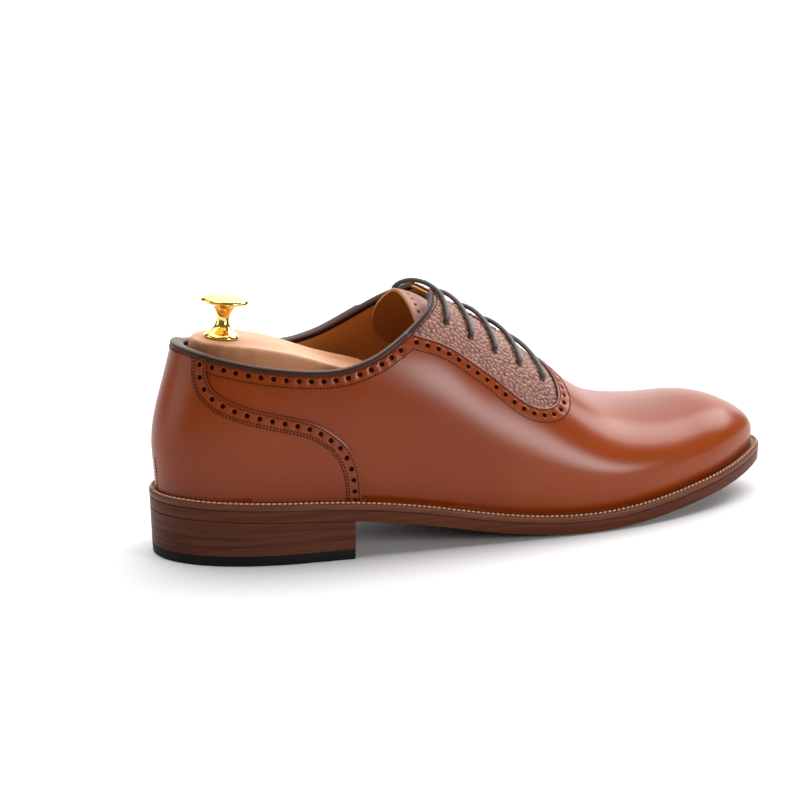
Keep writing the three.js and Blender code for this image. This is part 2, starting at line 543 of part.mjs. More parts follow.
// One lace: straight across inside from each medial eyelet to its lateral one, then over to the next medial one up.
const lacePath = [];
const diagonal = new THREE.Vector2(-EYELET_PITCH, 2 * EYELET_SPREAD).normalize();
for (let k = EYELETS; k >= 1; k--) {
  const s = eyeletRow(k);
  if (k === EYELETS) lacePath.push(lacingPoint(s, 20, INNER_RUN));
  for (const y of [13, 7, 0, -7, -13, -18]) lacePath.push(lacingPoint(s, y, INNER_RUN));
  lacePath.push(...throughEyelet(s, -EYELET_SPREAD, k > 1 ? diagonal.toArray() : [-0.2, 1], [0, 1]).reverse());
  if (k > 1) {
    for (const share of [0.15, 0.3, 0.42, 0.5, 0.58, 0.7, 0.85])
      lacePath.push(lacingPoint(s - EYELET_PITCH * share, -EYELET_SPREAD + 2 * EYELET_SPREAD * share, TOP_RUN));
    lacePath.push(...throughEyelet(eyeletRow(k - 1), EYELET_SPREAD, diagonal.clone().negate().toArray(), [0, -1]));
    lacePath.push(lacingPoint(eyeletRow(k - 1), 18, INNER_RUN));
  }
}
// The free end goes over the top of the medial facing and is tucked in behind it.
lacePath.push(...[[4.8, -17, TOP_RUN], [3.6, -11, TOP_RUN], [1, -6, TOP_RUN], [-3, -1.5, 3.2], [-7, 3, 1.6], [-9.5, 8, -0.8],
  [-9, 12.5, INNER_RUN], [-5, 15.5, INNER_RUN], [-1, 16.5, INNER_RUN]].map(([s, y, height]) => lacingPoint(s, y, height)));
add("lace", strand(lacePath, LACE_RADIUS, 230, 6), finish.lace);

// ---------------------------------------------------------------- the shoe tree
const wood = lastSolid(-TREE_CLEARANCE);
const aboveSock = slab(4, 4, above(INSOLE_TOP + GLUE + SOCK + 0.4), () => 200, STATIONS, 1);
const blockOutline = [[10.5, 3], [11.5, -3], [15, -9.5], [20, -13.8], [26, -17.2], [34, -19.8], [46, -21.5], [60, -21.5],
  [75, -20], [90, -16.5], [97, -12], [98, -6], [98, 10], [97, 15], [90, 19], [75, 22], [60, 23.5], [46, 23.3], [34, 21],
  [26, 18.8], [20, 16.6], [15, 13.2], [12, 9]];
const blockProfile = [[8, 20], [8, 97.6], [18, 97], [34, 95.2], [44, 93], [52, 90.8], [61, 87.7], [68, 85], [76, 82], [86, 79.1],
  [98, 76], [99, 71], [93, 64], [84, 56], [76, 47], [70, 38], [67, 28], [66, 20]];
const knobAxis = new THREE.Vector3(Math.sin(KNOB_LEAN), 0, Math.cos(KNOB_LEAN));
const knobSeat = new THREE.Vector3(25.6, 1, 96.2);
const forward = new THREE.Vector3(1, 0, 0);
const sideways = new THREE.Vector3(0, 1, 0);
const pin = (radius, from, length, axis) => turned([[0, 0], [radius, 0], [radius, length], [0, length]], 16, from, axis);
const tubeStart = new THREE.Vector3(TUBE_START, ROD_Y, ROD_Z);
const heelBlock = wood.intersect(aboveSock).intersect(planCut(blockOutline, 0, 120)).intersect(sideCut(blockProfile))
  .subtract(pin(STUD_RADIUS + 0.1, knobSeat.clone().addScaledVector(knobAxis, -14), 20, knobAxis))
  .subtract(pin(TUBE_RADIUS + 0.1, tubeStart.clone().addScaledVector(forward, -0.3), 80, forward));
add("tree_heel_block", heelBlock, finish.wood);
add("tree_knob", turned([[0, -13], [STUD_RADIUS, -13], [STUD_RADIUS, 0.1], [7.6, 0.1], [7.8, 1], [6.6, 2.3], [4.7, 4], [3.2, 6],
  [2.7, 8.2], [3, 10.6], [4.2, 13], [6.4, 14.8], [9.6, 15.7], [KNOB_RADIUS, 16.6], [KNOB_RADIUS, 17.4], [9.8, 18.4], [6, 19.5],
  [0, KNOB_HEIGHT]], 24, knobSeat, knobAxis), finish.brass);

add("tree_tube", pin(TUBE_RADIUS, tubeStart, TUBE_END - TUBE_START, forward)
  .subtract(pin(ROD_RADIUS + 0.1, tubeStart.clone().setX(TUBE_START + 2), 80, forward)), finish.brass);
add("tree_rod", pin(ROD_RADIUS, tubeStart.clone().setX(ROD_START), ROD_END - ROD_START, forward), finish.steel);
const coil = steps(0, 1, 55).map((share) => {
  const angle = share * SPRING_TURNS * 2 * Math.PI;
  return new THREE.Vector3(TUBE_START + 2.6 + share * (ROD_START - TREE_TRAVEL - TUBE_START - 3.6), ROD_Y + 2 * Math.cos(angle), ROD_Z + 2 * Math.sin(angle));
});
add("tree_spring", strand(coil, 0.45, 55, 4), finish.steel);

const foreWood = lastSolid(-TREE_FORE_CLEARANCE).intersect(aboveSock).intersect(sideCut([[146, 0], [138, 90], [330, 90], [330, 0]]));
const pins = [[186, 36], [226, 29]];
const pinHoles = (radius, y, length) => pins.map(([x, z]) => pin(radius, new THREE.Vector3(x, y, z), length, sideways))
  .reduce((all, one) => all.add(one));
add("tree_fore_lateral", foreWood.intersect(sideOf(-1, SPLIT_Y - TREE_SPLIT / 2)).subtract(pinHoles(PIN_RADIUS + 0.1, -14.3, 30))
  .subtract(pin(ROD_RADIUS + 0.1, tubeStart.clone().setX(120), ROD_END + 0.3 - 120, forward)), finish.wood);
add("tree_fore_medial", foreWood.intersect(sideOf(1, SPLIT_Y + TREE_SPLIT / 2)).subtract(pinHoles(PIN_RADIUS + 0.1, 0, 24)), finish.wood);
pins.forEach(([x, z], k) => add(`tree_pin_${k + 1}`, pin(PIN_RADIUS, new THREE.Vector3(x, -14, z), 32, sideways), finish.steel));

// The origin is at the middle of the footprint, on the floor.
const bounds = new THREE.Box3().setFromObject(group);
const centre = bounds.getCenter(new THREE.Vector3());
for (const part of group.children) part.geometry.translate(-centre.x, -centre.y, -bounds.min.z);

export default group;
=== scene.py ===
# %% [markdown]
# # A leather oxford shoe on its shoe tree
# A dress shoe is made over a last, a block with the shape of the foot. Every piece of leather in the upper is a
# sheet pulled over that one shape, so this lesson first makes the last as a formula and then cuts each leather
# from it. The solid parts of the shoe come in from the workshop model; each one that is soft, curved or stitched
# gets a finer mesh here, with its stitches, punched holes and grain.

# %% Load the workshop model and keep its size
import math

import bpy
import numpy as np
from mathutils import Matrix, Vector
from mathutils.geometry import delaunay_2d_cdt
from mathutils.kdtree import KDTree


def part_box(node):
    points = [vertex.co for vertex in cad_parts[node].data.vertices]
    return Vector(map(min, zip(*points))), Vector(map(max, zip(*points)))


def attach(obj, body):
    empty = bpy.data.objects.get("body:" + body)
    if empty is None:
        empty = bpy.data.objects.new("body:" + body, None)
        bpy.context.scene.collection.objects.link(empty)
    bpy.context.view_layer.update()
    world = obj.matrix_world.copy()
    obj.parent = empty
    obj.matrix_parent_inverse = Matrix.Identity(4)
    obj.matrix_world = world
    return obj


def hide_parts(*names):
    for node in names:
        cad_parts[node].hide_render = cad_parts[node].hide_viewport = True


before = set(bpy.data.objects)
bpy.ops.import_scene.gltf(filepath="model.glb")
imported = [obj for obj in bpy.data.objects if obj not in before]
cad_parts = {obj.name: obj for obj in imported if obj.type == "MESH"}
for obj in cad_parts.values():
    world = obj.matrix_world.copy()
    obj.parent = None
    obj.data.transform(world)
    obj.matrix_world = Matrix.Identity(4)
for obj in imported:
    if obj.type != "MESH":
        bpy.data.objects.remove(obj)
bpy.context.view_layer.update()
rng = np.random.default_rng(7)

# %% [markdown]
# Lengths below are in millimetres measured from the back of the last, as a shoemaker would. Blender works in
# metres from the middle of the footprint, so one helper moves points there. The first heel nail stands 16 mm
# in from the back of the last, which ties the two together.

# %% Where the last stands in the scene
NAIL_PLACE = 16.0
low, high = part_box("heel_nail_1")
ORIGIN = np.array([NAIL_PLACE - 500 * (low.x + high.x), -500 * (low.y + high.y), 0.0])


def to_scene(points):
    return (np.asarray(points, float) - ORIGIN) / 1000


print("back of the last in the scene:", to_scene([0, 0, 0]).round(4))

# %% [markdown]
# ## The last
# A last has no straight edge anywhere. Its sections are drawn with a few smooth curves along its length: half
# widths, heights and how full the sides are. A natural cubic spline joins listed values without wiggles,
# which is why it is used instead of straight steps.


# %% A smooth curve through listed values
class Curve:
    """A natural cubic spline, level beyond its ends."""

    def __init__(self, knots):
        self.x, self.y = np.array(knots, float).T
        n = len(self.x)
        matrix, right = np.eye(n), np.zeros(n)
        for i in range(1, n - 1):
            before, after = self.x[i] - self.x[i - 1], self.x[i + 1] - self.x[i]
            matrix[i, i - 1 : i + 2] = before, 2 * (before + after), after
            slopes = (self.y[i + 1] - self.y[i]) / after - (self.y[i] - self.y[i - 1]) / before
            right[i] = 6 * slopes
        self.bend = np.linalg.solve(matrix, right)

    def __call__(self, place):
        place = np.clip(np.asarray(place, float), self.x[0], self.x[-1])
        i = np.clip(np.searchsorted(self.x, place) - 1, 0, len(self.x) - 2)
        span = self.x[i + 1] - self.x[i]
        a = (self.x[i + 1] - place) / span
        b = 1 - a
        cubic = (a**3 - a) * self.bend[i] + (b**3 - b) * self.bend[i + 1]
        return a * self.y[i] + b * self.y[i + 1] + cubic * span**2 / 6


LAST_LENGTH = 287.0
BALL_LATERAL, BALL_MEDIAL = 45.5, 42.0
HEEL_ROUND, TOE_ROUND = 52.0, 39.0
INSTEP_HEIGHT, SEAT_HEIGHT, BREAST = 113.0, 25.3, 71.5
lateral_shape = Curve([[0, 0.66], [0.13, 0.71], [0.27, 0.8], [0.42, 0.855], [0.56, 0.912],
                       [0.68, 0.928], [0.78, 0.842], [0.88, 0.65], [1, 0.4]])
medial_shape = Curve([[0, 0.69], [0.13, 0.7], [0.27, 0.64], [0.42, 0.63], [0.56, 0.79], [0.7, 1],
                      [0.8, 0.97], [0.9, 0.83], [1, 0.66]])
bottom_drop = Curve([[0, 1.1], [0.13, -0.2], [0.26, -2.8], [0.38, -8.4], [0.48, -14.4], [0.58, -18.4],
                     [0.68, -19.2], [0.76, -17.4], [0.88, -12.7], [1, -6.4]])
lateral_bulge = Curve([[0, 2.5], [0.15, 2.5], [0.35, 4], [0.5, 4.5], [0.7, 4], [0.85, 3], [1, 2]])
medial_bulge = Curve([[0, 2.5], [0.15, 3], [0.35, 8], [0.5, 8], [0.7, 4], [0.85, 3], [1, 2]])
bulge_rise = Curve([[0, 19], [0.2, 20], [0.4, 24], [0.55, 17], [0.7, 12.5], [0.85, 9.5], [1, 8]])
top_shape = Curve([[0, 1.08], [0.2, 1.065], [0.34, 1.03], [0.42, 0.98], [0.48, 0.88], [0.55, 0.762],
                   [0.62, 0.611], [0.7, 0.455], [0.78, 0.392], [0.86, 0.379], [0.94, 0.382], [1, 0.352]])
top_lean = Curve([[0, -0.5], [0.35, 0.7], [0.5, 3], [0.65, 5.8], [0.8, 5.7], [0.92, 3.8], [1, 2]])
side_roundness = Curve([[0, 2.6], [0.3, 2.6], [0.45, 1.9], [0.6, 1.75], [0.75, 1.9], [1, 2.1]])
heel_back = Curve([[0, -0.8], [10, -1.4], [20, -1.9], [34, 0.4], [50, 5], [68, 9.6], [95, 18.5]])
crown = Curve([[0, 0], [0.27, 0], [0.4, 0.15], [0.55, 0.35], [0.7, 0.45], [0.85, 0.4], [1, 0.2]])
print("instep curve at the ball:", round(float(top_shape(0.7)) * INSTEP_HEIGHT, 1), "mm")

# %% [markdown]
# The surface takes two numbers, like a map. `u` runs from the back of the heel (0) to the toe (1), and `w` runs
# from the outer sole edge (-1) over the top (0) to the inner sole edge (1). A third number is the height above
# the last, so that each layer of leather is the same call with another height.

# %% The surface of the last
FEATHER_RISE = 5.1
WALL_SHARE, BULGE_SHARE, WALL_FOOT = 0.08, 0.3, 0.3
HEEL_BACK_REACH, TOE_EDGE = 85.0, 0.29
NUDGE = 0.004


def end_cap(distance, length, power):
    left = np.maximum(0, 1 - distance / length)
    return np.sqrt(np.maximum(0, 1 - left**power))


def sole_top(x):
    return SEAT_HEIGHT + bottom_drop(x / LAST_LENGTH)


def last_point(x, side, v):
    t = x / LAST_LENGTH
    toe_cap = end_cap(LAST_LENGTH - x, TOE_ROUND, 2.3)
    close = end_cap(x, HEEL_ROUND, 2.2) * toe_cap
    half = np.where(side < 0, BALL_LATERAL * lateral_shape(t), BALL_MEDIAL * medial_shape(t))
    swell = np.where(side < 0, lateral_bulge(t), medial_bulge(t))
    feather_y, bulge_y = side * half * close, side * (half + swell) * close
    feather_z = sole_top(x) + FEATHER_RISE
    toe_close = TOE_EDGE + (1 - TOE_EDGE) * toe_cap
    top_z = feather_z + (INSTEP_HEIGHT * top_shape(t) - feather_z) * toe_close
    bulge_z = feather_z + bulge_rise(t) * toe_close
    share = (v - WALL_SHARE) / (BULGE_SHARE - WALL_SHARE)
    turn = np.clip((v - BULGE_SHARE) / (1 - BULGE_SHARE), 0, 1) * np.pi / 2
    top_y = top_lean(t)
    wall_z = sole_top(x) + WALL_FOOT + (FEATHER_RISE - WALL_FOOT) * (v / WALL_SHARE)
    low_y = feather_y + (bulge_y - feather_y) * (1 - (1 - share) ** 2)
    low_z = feather_z + (bulge_z - feather_z) * share
    high_y = top_y + (bulge_y - top_y) * np.cos(turn)
    high_z = bulge_z + (top_z - bulge_z) * np.sin(turn) ** (2 / side_roundness(t))
    y = np.where(v < WALL_SHARE, feather_y, np.where(v < BULGE_SHARE, low_y, high_y))
    z = np.where(v < WALL_SHARE, wall_z, np.where(v < BULGE_SHARE, low_z, high_z))
    fade = np.maximum(0, 1 - x / HEEL_BACK_REACH) ** 2
    return np.stack([x + heel_back(np.maximum(0, z - feather_z)) * fade, y, z], -1)


def formed(u, side, v):
    """The last by station and share of height, running on round the heel and toe and over the top."""
    side, v = np.where(v > 1, -side, side), np.where(v > 1, 2 - v, v)
    side, u = np.where(u < 0, -side, side), np.where(u < 0, -u, u)
    side, u = np.where(u > 1, -side, side), np.where(u > 1, 2 - u, u)
    return last_point(LAST_LENGTH / 2 * (1 - np.cos(np.pi * u)), side, np.maximum(0, v))


def normal_at(u, w):
    side, v = np.where(w < 0, -1.0, 1.0), 1 - np.abs(w)
    up = np.clip(v, WALL_SHARE + NUDGE, 1 - NUDGE)
    along = formed(u + NUDGE, side, up) - formed(u - NUDGE, side, up)
    over = formed(u, side, up + NUDGE) - formed(u, side, up - NUDGE)
    normal = np.cross(along, over) * -side[..., None]
    normal /= np.linalg.norm(normal, axis=-1, keepdims=True)
    normal[..., 2] = np.where(v <= WALL_SHARE, 0, normal[..., 2])
    normal[..., 1] = np.where(v >= 1, 0, normal[..., 1])
    return normal / np.linalg.norm(normal, axis=-1, keepdims=True)


def skin(u, w, height):
    """Points of the surface at a height above the last."""
    u, w = (np.asarray(a, float) for a in np.broadcast_arrays(u, w))
    side, v = np.where(w < 0, -1.0, 1.0), 1 - np.abs(w)
    return formed(u, side, v) + normal_at(u, w) * np.asarray(height, float)[..., None]


def slide_along(chart, move):
    """Moves chart points along the surface by a short step given in millimetres."""
    u, w = chart[..., 0], chart[..., 1]
    here, by_u, by_w = skin(u, w, 3.0), skin(u + 1e-4, w, 3.0), skin(u, w + 1e-4, 3.0)
    a, b = (by_u - here) / 1e-4, (by_w - here) / 1e-4
    aa, ab, bb = (a * a).sum(-1), (a * b).sum(-1), (b * b).sum(-1)
    ma, mb = (a * move).sum(-1), (b * move).sum(-1)
    det = aa * bb - ab * ab
    return chart + np.stack([(ma * bb - mb * ab) / det, (mb * aa - ma * ab) / det], -1)


print("top of the last over the instep:", skin(0.42, 0.0, 0.0).round(1))

# %% [markdown]
# ## Pattern lines
# A pattern maker draws the cut lines in side view. Here each line is a list of points in side view; a field says
# for every spot of a fine map of the last how far it lies inside the line, and the cut itself is where that
# field is zero. The same trick gives rows of stitches: they lie where the distance to a cut line has one value.

# %% Lines in side view, and the map they are measured on
LATERAL_TOP = [[-14, 97.5], [5, 95.8], [15, 93.4], [30, 90.2], [45, 87.9], [59, 86.7], [70, 87.4], [82, 90.7],
               [91, 94.8], [99, 99], [107, 103.3], [113, 106.4], [118, 109.2], [121.5, 113], [123.5, 118],
               [124.5, 126]]
MEDIAL_TOP = [[-14, 97.5], [5, 95.8], [15, 93.2], [30, 89.6], [45, 86.9], [59, 85.4], [70, 85.6], [82, 88.6],
              [91, 92.8], [99, 97.4], [107, 102.6], [113, 106.2], [118, 109.2], [121.5, 113], [123.5, 118],
              [124.5, 126]]
FOXING_EDGE = [[11.5, 102], [11.9, 92], [11.2, 85], [13, 78.9], [18, 74.9], [26.1, 71.5], [37.3, 68.5],
               [50.2, 65.1], [58.9, 60.8], [66.8, 53.9], [71.3, 46.4], [74.1, 36.8], [76, 20]]
FACING_EDGE = [[88, 103.5], [97, 100.5], [103, 98.3], [108, 96.4], [116, 93.4], [124, 88.8], [132, 82.7],
               [139.5, 77], [147, 70.4], [154, 64.2], [160, 60.6], [166, 58.9], [171.4, 59], [175.2, 61],
               [177.7, 64], [179.5, 68], [181, 73], [182, 84]]


def smooth_line(points, count):
    """A Catmull-Rom curve through points, with an even number of steps per span."""
    p = np.array(points, float)
    p = np.vstack([2 * p[0] - p[1], p, 2 * p[-1] - p[-2]])
    out = []
    for i in range(1, len(p) - 2):
        t = np.linspace(0, 1, count, endpoint=False)[:, None]
        a, b, c, d = p[i - 1], p[i], p[i + 1], p[i + 2]
        out.append(0.5 * (2 * b + (c - a) * t + (2 * a - 5 * b + 4 * c - d) * t**2
                          + (3 * b - a - 3 * c + d) * t**3))
    return np.vstack(out + [p[-2][None]])


def line_distance(points, line):
    """Distance from each point to a line, in side view or in space."""
    best = np.full(len(points), np.inf)
    for a, b in zip(line[:-1], line[1:]):
        along = b - a
        share = np.clip(((points - a) @ along) / max(along @ along, 1e-12), 0, 1)
        gap = points - a - share[:, None] * along
        best = np.minimum(best, (gap * gap).sum(1))
    return np.sqrt(best)


def inside_polygon(points, polygon):
    x, z = points.T
    inside = np.zeros(len(points), bool)
    for (x0, z0), (x1, z1) in zip(polygon, np.roll(polygon, -1, 0)):
        cross = (z0 > z) != (z1 > z)
        with np.errstate(divide="ignore", invalid="ignore"):
            inside ^= cross & (x < (x1 - x0) * (z - z0) / (z1 - z0) + x0)
    return inside


MAP_U, MAP_W = 420, 260
map_u, map_w = np.meshgrid(np.linspace(0, 1, MAP_U + 1), np.linspace(-1, 1, MAP_W + 1), indexing="ij")
LEATHER_TOP = 3.8
map_points = skin(map_u, map_w, LEATHER_TOP)
print("map of the last:", map_points.shape[:2], "points")


# %% Fields on the map
def signed(line, polygon, points=None):
    """Distance to a line in side view, positive inside the polygon it closes."""
    flat = (map_points if points is None else points).reshape(-1, 3)[:, [0, 2]]
    away = line_distance(flat, line)
    return np.where(inside_polygon(flat, np.array(polygon, float)), away, -away).reshape(map_u.shape)


def under_line(knots):
    line = smooth_line(knots, 8)
    polygon = [[-30, -20], [400, -20], [400, 170], [line[-1][0], 170], *line[::-1], [-30, line[0][1]]]
    return signed(line, polygon)


TOP_FIELD = np.where(map_w < 0, under_line(LATERAL_TOP), under_line(MEDIAL_TOP))
fox_line = smooth_line(FOXING_EDGE, 8)
FOX_FIELD = signed(fox_line, [[-40, 0], [-40, 125], [5, 125], *fox_line, [70, 0]])
face_line = smooth_line(FACING_EDGE, 8)
FACE_FIELD = signed(face_line, [[88, 170], *face_line, [182, 170]])


def contour(field, level=0.0):
    """The lines on the map where a field has one value, each a run of (u, w) points."""
    f = field - level
    f = np.where(f == 0, 1e-9, f)

    def crossing(a, b):
        share = f[a] / (f[a] - f[b])
        return map_u[a] + share * (map_u[b] - map_u[a]), map_w[a] + share * (map_w[b] - map_w[a])

    place, links = {}, {}
    sign = f > 0
    mixed = np.argwhere(~((sign[:-1, :-1] == sign[1:, :-1]) & (sign[:-1, :-1] == sign[:-1, 1:])
                          & (sign[:-1, :-1] == sign[1:, 1:])))
    for i, j in mixed:
        for tri in (((i, j), (i + 1, j), (i + 1, j + 1)), ((i, j), (i + 1, j + 1), (i, j + 1))):
            keys = []
            for a, b in ((tri[0], tri[1]), (tri[1], tri[2]), (tri[0], tri[2])):
                if sign[a] != sign[b]:
                    a, b = min(a, b), max(a, b)
                    place[a, b] = crossing(a, b)
                    keys.append((a, b))
            if len(keys) == 2:
                links.setdefault(keys[0], []).append(keys[1])
                links.setdefault(keys[1], []).append(keys[0])
    chains, left = [], set(links)
    while left:
        start = next((k for k in sorted(left) if len(links[k]) == 1), None) or min(left)
        chain, here = [start], start
        left.discard(start)
        while True:
            nxt = next((k for k in links[here] if k in left), None)
            if nxt is None:
                break
            chain.append(nxt)
            left.discard(nxt)
            here = nxt
        if here in links[start] and len(chain) > 3:
            chain.append(start)
        chains.append(np.array([place[k] for k in chain]))
    return sorted(chains, key=len, reverse=True)


def length_of(points):
    return np.r_[0, np.cumsum(np.linalg.norm(np.diff(points, axis=0), axis=1))]


def evenly(chart, pitch, start=0.0):
    """A chart line again with points at an even pitch along the leather."""
    run = length_of(skin(chart[:, 0], chart[:, 1], LEATHER_TOP))
    at = np.arange(start, run[-1], pitch)
    return np.stack([np.interp(at, run, chart[:, 0]), np.interp(at, run, chart[:, 1])], -1)


def soften(chart, rounds=6):
    """Evens out the small steps that a line gets from the map it was read from."""
    chart = chart.copy()
    for _ in range(rounds):
        chart[1:-1] = (chart[:-2] + 2 * chart[1:-1] + chart[2:]) / 4
    return chart


def sample(field, chart):
    """A field's value at chart points, from the four map points round each."""
    a = np.clip(chart[:, 0] * MAP_U, 0, MAP_U - 1e-6)
    b = np.clip((chart[:, 1] + 1) / 2 * MAP_W, 0, MAP_W - 1e-6)
    i, j = a.astype(int), b.astype(int)
    s, t = a - i, b - j
    return ((1 - s) * (1 - t) * field[i, j] + s * (1 - t) * field[i + 1, j]
            + (1 - s) * t * field[i, j + 1] + s * t * field[i + 1, j + 1])


print("points on the top edge:", len(contour(TOP_FIELD)[0]), "and on the facing edge:", len(contour(FACE_FIELD)[0]))

# %% [markdown]
# Stitches and punched holes keep a steady distance from a cut along the leather itself, not in side view. So each
# cut line is measured again in space, and that distance, with a sign, becomes the ruler for rows and bands.

# %% Distance along the leather from each cut
RULER_PITCH, SHORTEST_CUT = 2.5, 30


def ruler(field):
    """Distance in space from the field's cut lines, positive inside. Specks of a few points are no cut."""
    away = np.full(field.shape, np.inf)
    for chain in contour(field):
        if len(chain) > SHORTEST_CUT:
            spots = np.vstack([evenly(chain, RULER_PITCH), chain[-1:]])
            line = skin(spots[:, 0], spots[:, 1], LEATHER_TOP)
            away = np.minimum(away, line_distance(map_points.reshape(-1, 3), line).reshape(field.shape))
    return np.where(field > 0, away, -away)


TOP_RULE, FOX_RULE, FACE_RULE = ruler(TOP_FIELD), ruler(FOX_FIELD), ruler(FACE_FIELD)
print("deepest leather below the top edge:", round(float(TOP_RULE.max()), 1), "mm")


# %% Rows of stitches and of punched holes
SHORTEST_RUN, SHORTEST_ROW = 6, 12
BINDING_DEPTH = 2.2
EDGE_ROW, HOLE_ROW, FAR_ROW = 0.9, 2.7, 5.7
TOP_ROW = BINDING_DEPTH + EDGE_ROW
TOP_HOLES = BINDING_DEPTH + HOLE_ROW
TOP_FAR = BINDING_DEPTH + FAR_ROW
FACE_ROW, FACE_HOLES, FACE_FAR = 1.0, 3.7, 7.0
FOX_ROW, FOX_HOLES, FOX_FAR, FOX_LAST = 1.0, 3.0, 5.6, 6.7
WIDE = 1e3
HOLE_PITCH = 5.6


def runs_where(chart, *conditions):
    """The stretches of a chart line where every (field, low, high) condition holds, longest first."""
    ok = np.ones(len(chart), bool)
    for field, low, high in conditions:
        value = sample(field, chart)
        ok &= (value > low) & (value < high)
    edges = np.flatnonzero(np.diff(np.r_[0, ok.astype(int), 0]))
    runs = [chart[a:b] for a, b in zip(edges[::2], edges[1::2]) if b - a > SHORTEST_RUN]
    return sorted(runs, key=len, reverse=True)


def row(field, level, *conditions, count=2):
    """The lines at one distance from a cut where the conditions hold: one line, or one on each side of the shoe."""
    chains = [soften(c) for c in contour(field, level) if len(c) > SHORTEST_ROW]
    found = [r for c in chains for r in runs_where(c, *conditions)]
    return sorted(found, key=len, reverse=True)[:count]


STITCH_ROWS = {
    "top": row(TOP_RULE, TOP_ROW, count=1),
    "top_far": row(TOP_RULE, TOP_FAR, (FOX_RULE, -WIDE, -0.2), (FACE_RULE, -WIDE, -FACE_FAR)),
    "face": row(FACE_RULE, -FACE_ROW, (TOP_RULE, TOP_ROW, WIDE), count=1),
    "face_far": row(FACE_RULE, -FACE_FAR, (TOP_RULE, TOP_FAR, WIDE), count=1),
    "fox": row(FOX_RULE, FOX_ROW, (TOP_RULE, TOP_ROW, WIDE)),
    "fox_far": row(FOX_RULE, FOX_FAR, (TOP_RULE, TOP_ROW, WIDE)),
    "fox_last": row(FOX_RULE, FOX_LAST, (TOP_RULE, TOP_ROW, WIDE)),
    "heel_dart": [np.linspace((0.002, -0.93), (0.002, -0.76), 40)],
}


def hole_spots(rows, field, rising):
    """Hole centres at an even pitch, counted from the end where a ruler reads lowest or highest."""
    out = []
    for chart in rows:
        first, last = sample(field, chart[[0, -1]])
        if (first > last) == rising:
            chart = chart[::-1]
        out.append(evenly(chart, HOLE_PITCH, FIRST_HOLE))
    return np.vstack(out)


FIRST_HOLE, CLEAR_OF_FOXING, CLEAR_OF_CORNER = 0.4, 1.6, 3.4
UPPER_HOLES = np.vstack([
    hole_spots(row(TOP_RULE, TOP_HOLES, (FOX_RULE, -WIDE, -CLEAR_OF_FOXING),
                   (FACE_RULE, -WIDE, -FACE_HOLES - CLEAR_OF_CORNER)), FOX_RULE, False),
    hole_spots(row(FACE_RULE, -FACE_HOLES, (TOP_RULE, TOP_HOLES - 0.2, WIDE), count=1), TOP_RULE, True),
])
FOX_HOLE_SPOTS = hole_spots(row(FOX_RULE, FOX_HOLES, (TOP_RULE, TOP_HOLES - 0.4, WIDE)), TOP_RULE, True)
print("rows:", {k: [len(r) for r in v] for k, v in STITCH_ROWS.items()})
print("holes in the upper:", len(UPPER_HOLES), "in the foxing:", len(FOX_HOLE_SPOTS))

# %% [markdown]
# ## Cutting a leather
# A leather is made like the real one: points are laid over the map, the cut line and the rims of the punched
# holes are fixed edges, and a constrained triangulation joins them. It gives a clean edge and round holes with
# no more points than needed, where a boolean cut would leave long slivers. The sheet then gets its thickness, a
# softened cut edge and a floor in each hole.


# %% Mesh helpers
def make_mesh(name, points, faces, body="shoe", smooth=50.0, attributes=None):
    mesh = bpy.data.meshes.new(name)
    mesh.from_pydata(to_scene(points).tolist(), [], [list(map(int, f)) for f in faces])
    for key, values in (attributes or {}).items():
        mesh.attributes.new(key, "FLOAT", "POINT").data.foreach_set("value", np.asarray(values, np.float32))
    mesh.validate()
    obj = bpy.data.objects.new(name, mesh)
    bpy.context.scene.collection.objects.link(obj)
    if smooth:
        mesh.shade_smooth()
        mesh.set_sharp_from_angle(angle=math.radians(smooth))
    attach(obj, body)
    print(f"{name}: {len(mesh.vertices)} points, {len(mesh.polygons)} faces")
    return obj


CHART_SCALE = np.array([330.0, 115.0])
RIM_COUNT = 14


def tangents(u, w):
    normal = normal_at(u, w)
    forward = skin(u + 1e-3, w, 3.0) - skin(u - 1e-3, w, 3.0)
    forward -= (forward * normal).sum(-1, keepdims=True) * normal
    forward /= np.linalg.norm(forward, axis=-1, keepdims=True)
    return forward, np.cross(normal, forward), normal


def ring_round(centre, radius):
    """A ring on the leather round each centre, as chart points."""
    forward, side, _ = tangents(centre[:, 0], centre[:, 1])
    angle = np.linspace(0, 2 * np.pi, RIM_COUNT, endpoint=False)[None, :, None]
    move = radius * (np.cos(angle) * forward[:, None] + np.sin(angle) * side[:, None])
    return slide_along(np.repeat(centre[:, None], RIM_COUNT, 1), move)


INSIDE_EDGE, SEAM_MATCH = 0.5, 1e-3


